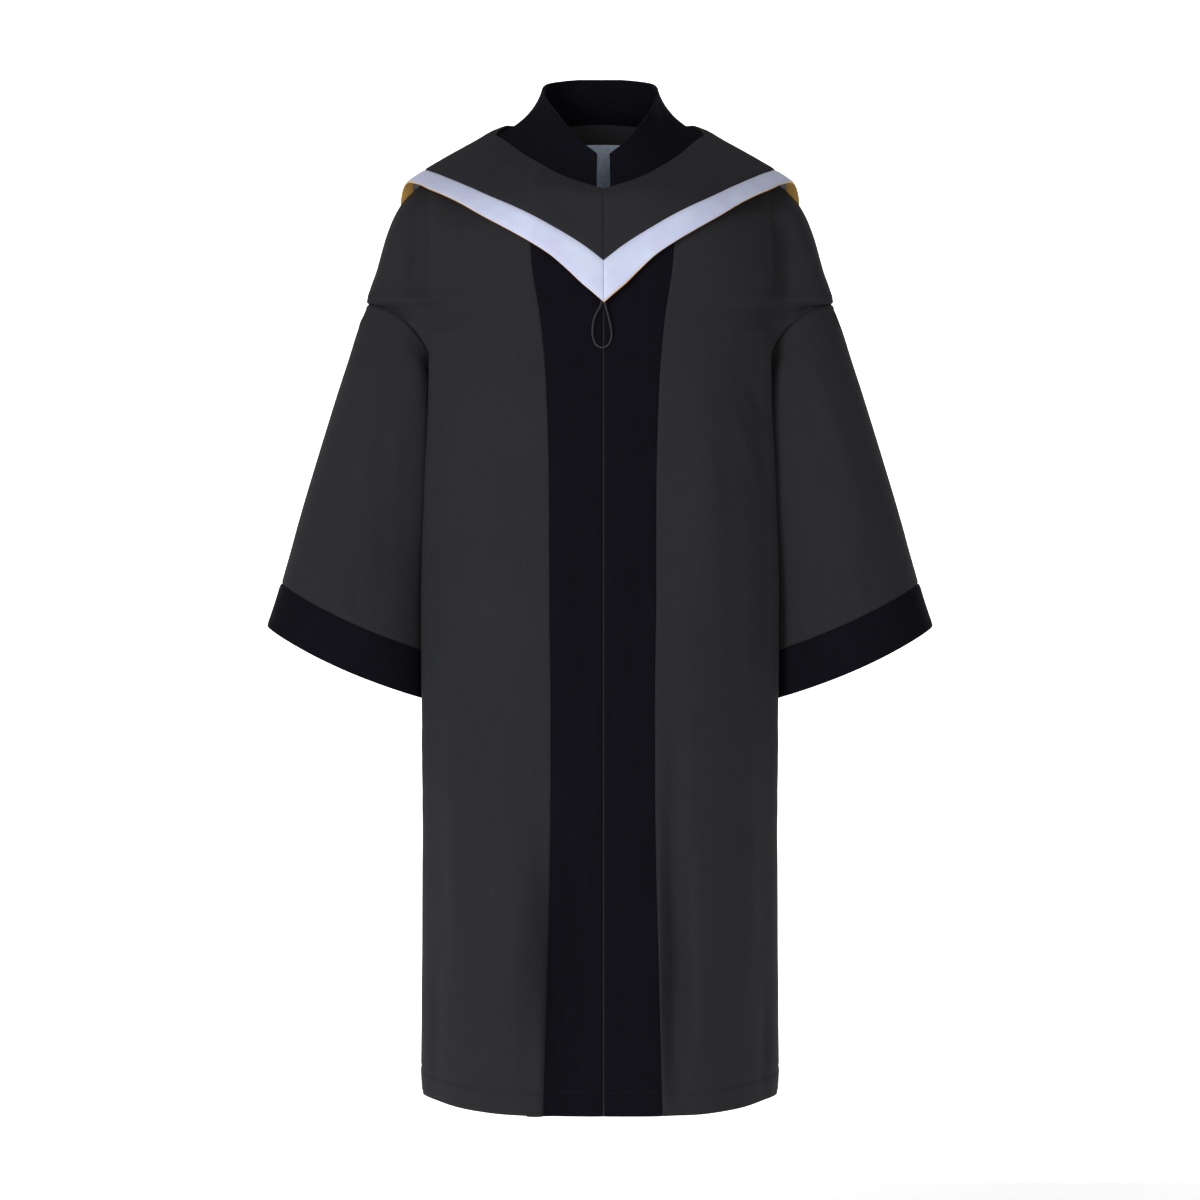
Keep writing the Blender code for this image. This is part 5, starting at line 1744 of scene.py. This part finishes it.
class GOWN_OT_sleeves(bpy.types.Operator):
    """Make the two wide sleeves"""

    bl_idname = "gown.sleeves"
    bl_label = "Sleeves"

    def execute(self, context):
        cloth = shared("charcoal_twill", twill_cloth)
        for side, end in ENDS:
            grid, normals = fine_sleeve(0.0, CUFF_SEAM - SEAM_STEP, SLEEVE_ROWS_DOWN, 0.0, end)
            grid, normals = to_side(grid, normals, side)
            piece = lay("gown_sleeve_" + end, grid, normals, context.scene.gown_sizes.cloth, cloth,
                        ring=True, rows=(CLOTH, VELVET - CUFF_PROUD))
            declare(piece, "sleeve_" + end)
        return {"FINISHED"}


class GOWN_OT_cuffs(bpy.types.Operator):
    """Make the two velvet cuffs"""

    bl_idname = "gown.cuffs"
    bl_label = "Velvet cuffs"

    def execute(self, context):
        sizes = context.scene.gown_sizes
        pile = shared("black_velvet", velvet)
        for side, end in ENDS:
            grid, normals = fine_sleeve(CUFF_SEAM + SEAM_STEP, CUFF_EDGE, CUFF_ROWS, CUFF_PROUD, end)
            grid, normals = to_side(grid, normals, side)
            piece = lay("velvet_cuff_" + end, grid, normals, sizes.velvet, pile,
                        ring=True, rim=sizes.soft_rim)
            declare(piece, "cuff_" + end)
        return {"FINISHED"}


class GOWN_OT_collar(bpy.types.Operator):
    """Make the standing velvet collar, open at the front"""

    bl_idname = "gown.collar"
    bl_label = "Velvet collar"

    def execute(self, context):
        sizes = context.scene.gown_sizes
        columns = split_columns(neckline_columns(), COLLAR_FINE_SPLIT)
        rows, normals = collar_half(columns, COLLAR_FINE_STEPS)
        for row, outs in zip(rows, normals):
            for j, out in enumerate(outs):
                row[j] = row[j] + out * unevenness(row[j]) * COLLAR_STIFFNESS
        halves = zip(to_side(rows, normals, -1), to_side(rows, normals, 1))
        grid, outs = [[r + list(reversed(l))[1:] for r, l in zip(right, left)] for right, left in halves]
        pile = shared("black_velvet", velvet)
        piece = lay("velvet_collar", grid, outs, sizes.collar, pile, rim=sizes.soft_rim)
        declare(piece, "collar")
        return {"FINISHED"}


class GOWN_OT_hood(bpy.types.Operator):
    """Lay the two halves of the hood"""

    bl_idname = "gown.hood"
    bl_label = "Hood"

    def execute(self, context):
        cloth = shared("charcoal_twill", twill_cloth)
        thickness = context.scene.gown_sizes.cloth
        last = HOOD_STEPS * HOOD_DOWN
        for side, end in ENDS:
            grid, normals = hood_part(0, last, thickness, HOOD_CREASES[end], False, True)
            grid, normals = to_side(grid, normals, side)
            piece = lay("hood_half_" + end, grid, normals, thickness, cloth)
            declare(piece, "hood_" + end)
        return {"FINISHED"}


class GOWN_OT_hood_bands(bpy.types.Operator):
    """Lay the satin border and the gold lining under its edge"""

    bl_idname = "gown.hood_bands"
    bl_label = "Satin border and lining"

    def execute(self, context):
        satin = shared("lavender_satin", cloudy_satin)
        gold = shared("gold_satin", gold_satin)
        thickness = context.scene.gown_sizes.satin
        first = HOOD_STEPS * HOOD_DOWN
        last = first + BAND_STEPS * HOOD_DOWN
        fine, outs = hood_grid()
        for side, end in ENDS:
            grid, normals = hood_part(first, last, thickness, (), True, False)
            grid, normals = to_side(grid, normals, side)
            piece = lay("satin_border_" + end, grid, normals, thickness, satin)
            declare(piece, "hood_band_" + end)
            strip, ways = [[], [], []], [[], [], []]
            for j, edge in enumerate(fine[last]):
                above = fine[last - HOOD_DOWN][j]
                shows = read_table(LINING_SHOWS, hood_angle(j))[0]
                if side < 0 and hood_angle(j) < LINING_FRONT_ANGLE:
                    shows = min(shows, LINING_LEAST)
                below = edge + (edge - above).normalized() * shows
                out = outs[last][j]
                for i, spot in enumerate((above, edge, below)):
                    lift = unevenness(spot) - SEAM
                    strip[i].append(settle(spot + out * lift, side))
                    ways[i].append(mirror(out, side))
            piece = lay("gold_lining_" + end, strip, ways, thickness, gold)
            declare(piece, "hood_lining_" + end)
        return {"FINISHED"}


class GOWN_OT_label(bpy.types.Operator):
    """Sew the bare woven label inside the back"""

    bl_idname = "gown.label"
    bl_label = "Label"

    def execute(self, context):
        bottom, top = place_at_height("back", LABEL_BOTTOM_Z), place_at_height("back", LABEL_TOP_Z)
        grid, normals = [], []
        for i in range(LABEL_ROWS + 1):
            place = bottom + (top - bottom) * i / LABEL_ROWS
            row, outs = [], []
            for j in range(LABEL_COLUMNS + 1):
                x = LABEL_HALF_WIDTH * (2 * j / LABEL_COLUMNS - 1)
                part = part_at_x("back", place, abs(x)) if x else 0.0
                point = body_point("back", place, part)
                out = body_normal("back", place, part)
                side = -1 if x < 0 else 1
                creases = BACK_CREASES["right" if x < 0 else "left"]
                length = body_row("back", round(place, PLACE_DIGITS))[2]
                rise = unevenness(point) + crease_rise(creases, part * length, point.z)
                inward = -mirror(out, side)
                spot = settle(point + out * rise, side)
                row.append(spot + inward * (CLOTH + SEAM + LABEL))
                outs.append(inward)
            grid.append(row)
            normals.append(outs)
        piece = lay("woven_label", grid, normals, LABEL, shared("woven_label", label_cloth))
        declare(piece, "label")
        return {"FINISHED"}


class GOWN_OT_zip(bpy.types.Operator):
    """Make the zip's tape, its coil and the finish of its slider"""

    bl_idname = "gown.zip"
    bl_label = "Concealed zip"

    def execute(self, context):
        colours = context.scene.gown_colours
        grid, normals = [], []
        line, ways = [], []
        for place in fine_places():
            row, outs = [], []
            for share in TAPE_COLUMNS:
                x = ZIP_WIDTH / 2 * share
                part = part_at_x("front", place, abs(x)) if x else 0.0
                point = body_point("front", place, part)
                out = body_normal("front", place, part)
                side = -1 if x < 0 else 1
                way = mirror(out, side)
                lift = unevenness(point) - VELVET - SEAM
                row.append(settle(point, side) + way * lift)
                outs.append(way)
                if not x:
                    line.append(settle(point, side) + way * (unevenness(point) - TOOTH_DEPTH))
                    ways.append(way)
            grid.append(row)
            normals.append(outs)
        piece = lay("zip_cloth_tape", grid, normals, TAPE, shared("zip_tape", tape_cloth))
        declare(piece, "zip_tape")
        across = Vector((1.0, 0.0, 0.0))
        spots = [(point, across, out) for point, _, out in walk(line, ways, TOOTH_PITCH)]
        nylon = shared("zip_teeth", plastic, tuple(colours.teeth), NYLON_ROUGHNESS)
        beads("zip_coil", spots, TOOTH_SIZE, nylon)
        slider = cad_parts["zip_slider"]
        metal = shared("zip_slider", plastic, tuple(colours.trim), METAL_ROUGHNESS)
        slider.data.materials.clear()
        slider.data.materials.append(metal)
        return {"FINISHED"}


class GOWN_OT_loop(bpy.types.Operator):
    """Hang the hood's cord loop from the tip of its V"""

    bl_idname = "gown.loop"
    bl_label = "Cord loop"

    def execute(self, context):
        keys = []
        for x, out, z in LOOP_ROUTE:
            front = body_point("front", place_at_height("front", z), 0.0)
            keys.append(Vector((x, front.y - LOOP_DIAMETER / 2 - out, z)))
        fine = smooth_line(keys, LOOP_SAMPLES)
        curve = bpy.data.curves.new("cord_loop", "CURVE")
        curve.dimensions = "3D"
        curve.bevel_depth = LOOP_DIAMETER / 2
        curve.bevel_resolution = 3
        curve.use_fill_caps = True
        spline = curve.splines.new("POLY")
        spline.points.add(len(fine) - 1)
        for spot, point in zip(spline.points, fine):
            spot.co = (*point, 1.0)
        spline.use_smooth = True
        piece = add_object("cord_loop", curve)
        curve.materials.append(shared("grey_cord", twisted_cord))
        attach(piece, "root")
        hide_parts("hood_loop")
        return {"FINISHED"}


class GOWN_OT_stitching(bpy.types.Operator):
    """Sew the hem, the satin border and the label"""

    bl_idname = "gown.stitching"
    bl_label = "Stitching"

    def execute(self, context):
        colours = context.scene.gown_colours
        dark = shared("charcoal_thread", sewing_thread, scaled(colours.cloth, 0.6))
        pale = shared("lavender_thread", sewing_thread, scaled(colours.satin, 0.80))
        slate = shared("slate_thread", sewing_thread, scaled(colours.label, 1.4))
        spots = []
        row = fine_places().index(round(HEM_DEPTH / HEM_PLACE_LENGTH, PLACE_DIGITS))
        hemmed = ("side_front_left", "side_front_right", "velvet_band_left", "velvet_band_right", "gown_back")
        for name in hemmed:
            grid, normals = grids[name]
            spots += walk(grid[row], normals[row], STITCH_PITCH)
        beads("hem_stitches", spots, STITCH_SIZE, dark)
        spots = edge_stitches("satin_border_left") + edge_stitches("satin_border_right")
        beads("border_stitches", spots, STITCH_SIZE, pale)
        beads("label_stitches", edge_stitches("woven_label"), STITCH_SIZE, slate)
        return {"FINISHED"}


def sweep_point(x, share):
    """A point of the paper, which runs along the floor, round a bend and up the wall."""
    floor_run = BACKDROP_Y - BACKDROP_BEND - FLOOR_FRONT_Y
    bend_run = BACKDROP_BEND * math.pi / 2
    wall_run = BACKDROP_TOP - FLOOR_Z - BACKDROP_BEND
    run = share * (floor_run + bend_run + wall_run)
    if run <= floor_run:
        return (x, FLOOR_FRONT_Y + run, FLOOR_Z)
    if run <= floor_run + bend_run:
        turn = (run - floor_run) / BACKDROP_BEND
        return (x, FLOOR_FRONT_Y + floor_run + BACKDROP_BEND * math.sin(turn),
                FLOOR_Z + BACKDROP_BEND * (1 - math.cos(turn)))
    return (x, BACKDROP_Y, FLOOR_Z + BACKDROP_BEND + run - floor_run - bend_run)


class GOWN_OT_stage(bpy.types.Operator):
    """Set up the pale floor, the soft light and the camera"""

    bl_idname = "gown.stage"
    bl_label = "Stage"

    def execute(self, context):
        scene = context.scene
        bm = bmesh.new()
        bmesh.ops.create_grid(bm, x_segments=1, y_segments=BACKDROP_STEPS, size=0.5)
        for vert in bm.verts:
            vert.co = sweep_point(vert.co.x * 2 * BACKDROP_HALF_WIDTH, vert.co.y + 0.5)
        for face in bm.faces:
            face.smooth = True
        papers = [shared("white_paper", paper, PAPER_GLOW), shared("lit_paper", paper, WALL_GLOW)]
        sweep = add_mesh("paper_sweep", bm, *papers)
        for face in sweep.data.polygons:
            face.material_index = int(face.center.y > LIT_FROM_Y)
        world = bpy.data.worlds.new("studio")
        world.use_nodes = True
        background = world.node_tree.nodes["Background"]
        background.inputs["Color"].default_value = (*WHITE, 1.0)
        background.inputs["Strength"].default_value = WORLD_LIGHT
        scene.world = world
        for name, place, aim, width, height, power in LIGHTS:
            data = bpy.data.lights.new(name, "AREA")
            data.shape = "RECTANGLE"
            data.size = width
            data.size_y = height
            data.energy = power
            light = add_object(name, data)
            light.location = place
            light.rotation_euler = (Vector(aim) - Vector(place)).to_track_quat("-Z", "Y").to_euler()
        data = bpy.data.cameras.new("photo_camera")
        data.lens = CAMERA_LENS
        data.sensor_width = SENSOR
        camera = add_object("photo_camera", data)
        camera.location = (0.0, CAMERA_Y, CAMERA_Z)
        camera.rotation_euler = (math.pi / 2, 0.0, 0.0)
        scene.camera = camera
        scene.view_settings.view_transform = "Standard"
        return {"FINISHED"}


MAKERS = (
    GOWN_OT_stage,
    GOWN_OT_loop,
    GOWN_OT_side_fronts,
    GOWN_OT_front_bands,
    GOWN_OT_back,
    GOWN_OT_sleeves,
    GOWN_OT_cuffs,
    GOWN_OT_collar,
    GOWN_OT_hood,
    GOWN_OT_hood_bands,
    GOWN_OT_label,
    GOWN_OT_zip,
    GOWN_OT_stitching,
)


class GOWN_PT_panel(bpy.types.Panel):
    """Sizes, colours and the gown's pieces"""

    bl_label = "Graduation gown"
    bl_idname = "GOWN_PT_panel"
    bl_space_type = "VIEW_3D"
    bl_region_type = "UI"
    bl_category = "Gown"

    def draw(self, context):
        for group in (context.scene.gown_sizes, context.scene.gown_colours):
            for name in group.__annotations__:
                self.layout.prop(group, name)
        for maker in MAKERS:
            self.layout.operator(maker.bl_idname)


CLASSES = (GownSizes, GownColours) + MAKERS + (GOWN_PT_panel,)


def register():
    for part in CLASSES:
        bpy.utils.register_class(part)
    bpy.types.Scene.gown_sizes = PointerProperty(type=GownSizes)
    bpy.types.Scene.gown_colours = PointerProperty(type=GownColours)


def unregister():
    del bpy.types.Scene.gown_colours
    del bpy.types.Scene.gown_sizes
    for part in reversed(CLASSES):
        bpy.utils.unregister_class(part)


def main():
    register()
    for maker in MAKERS:
        group, name = maker.bl_idname.split(".")
        getattr(getattr(bpy.ops, group), name)()


if __name__ == "__main__":
    main()
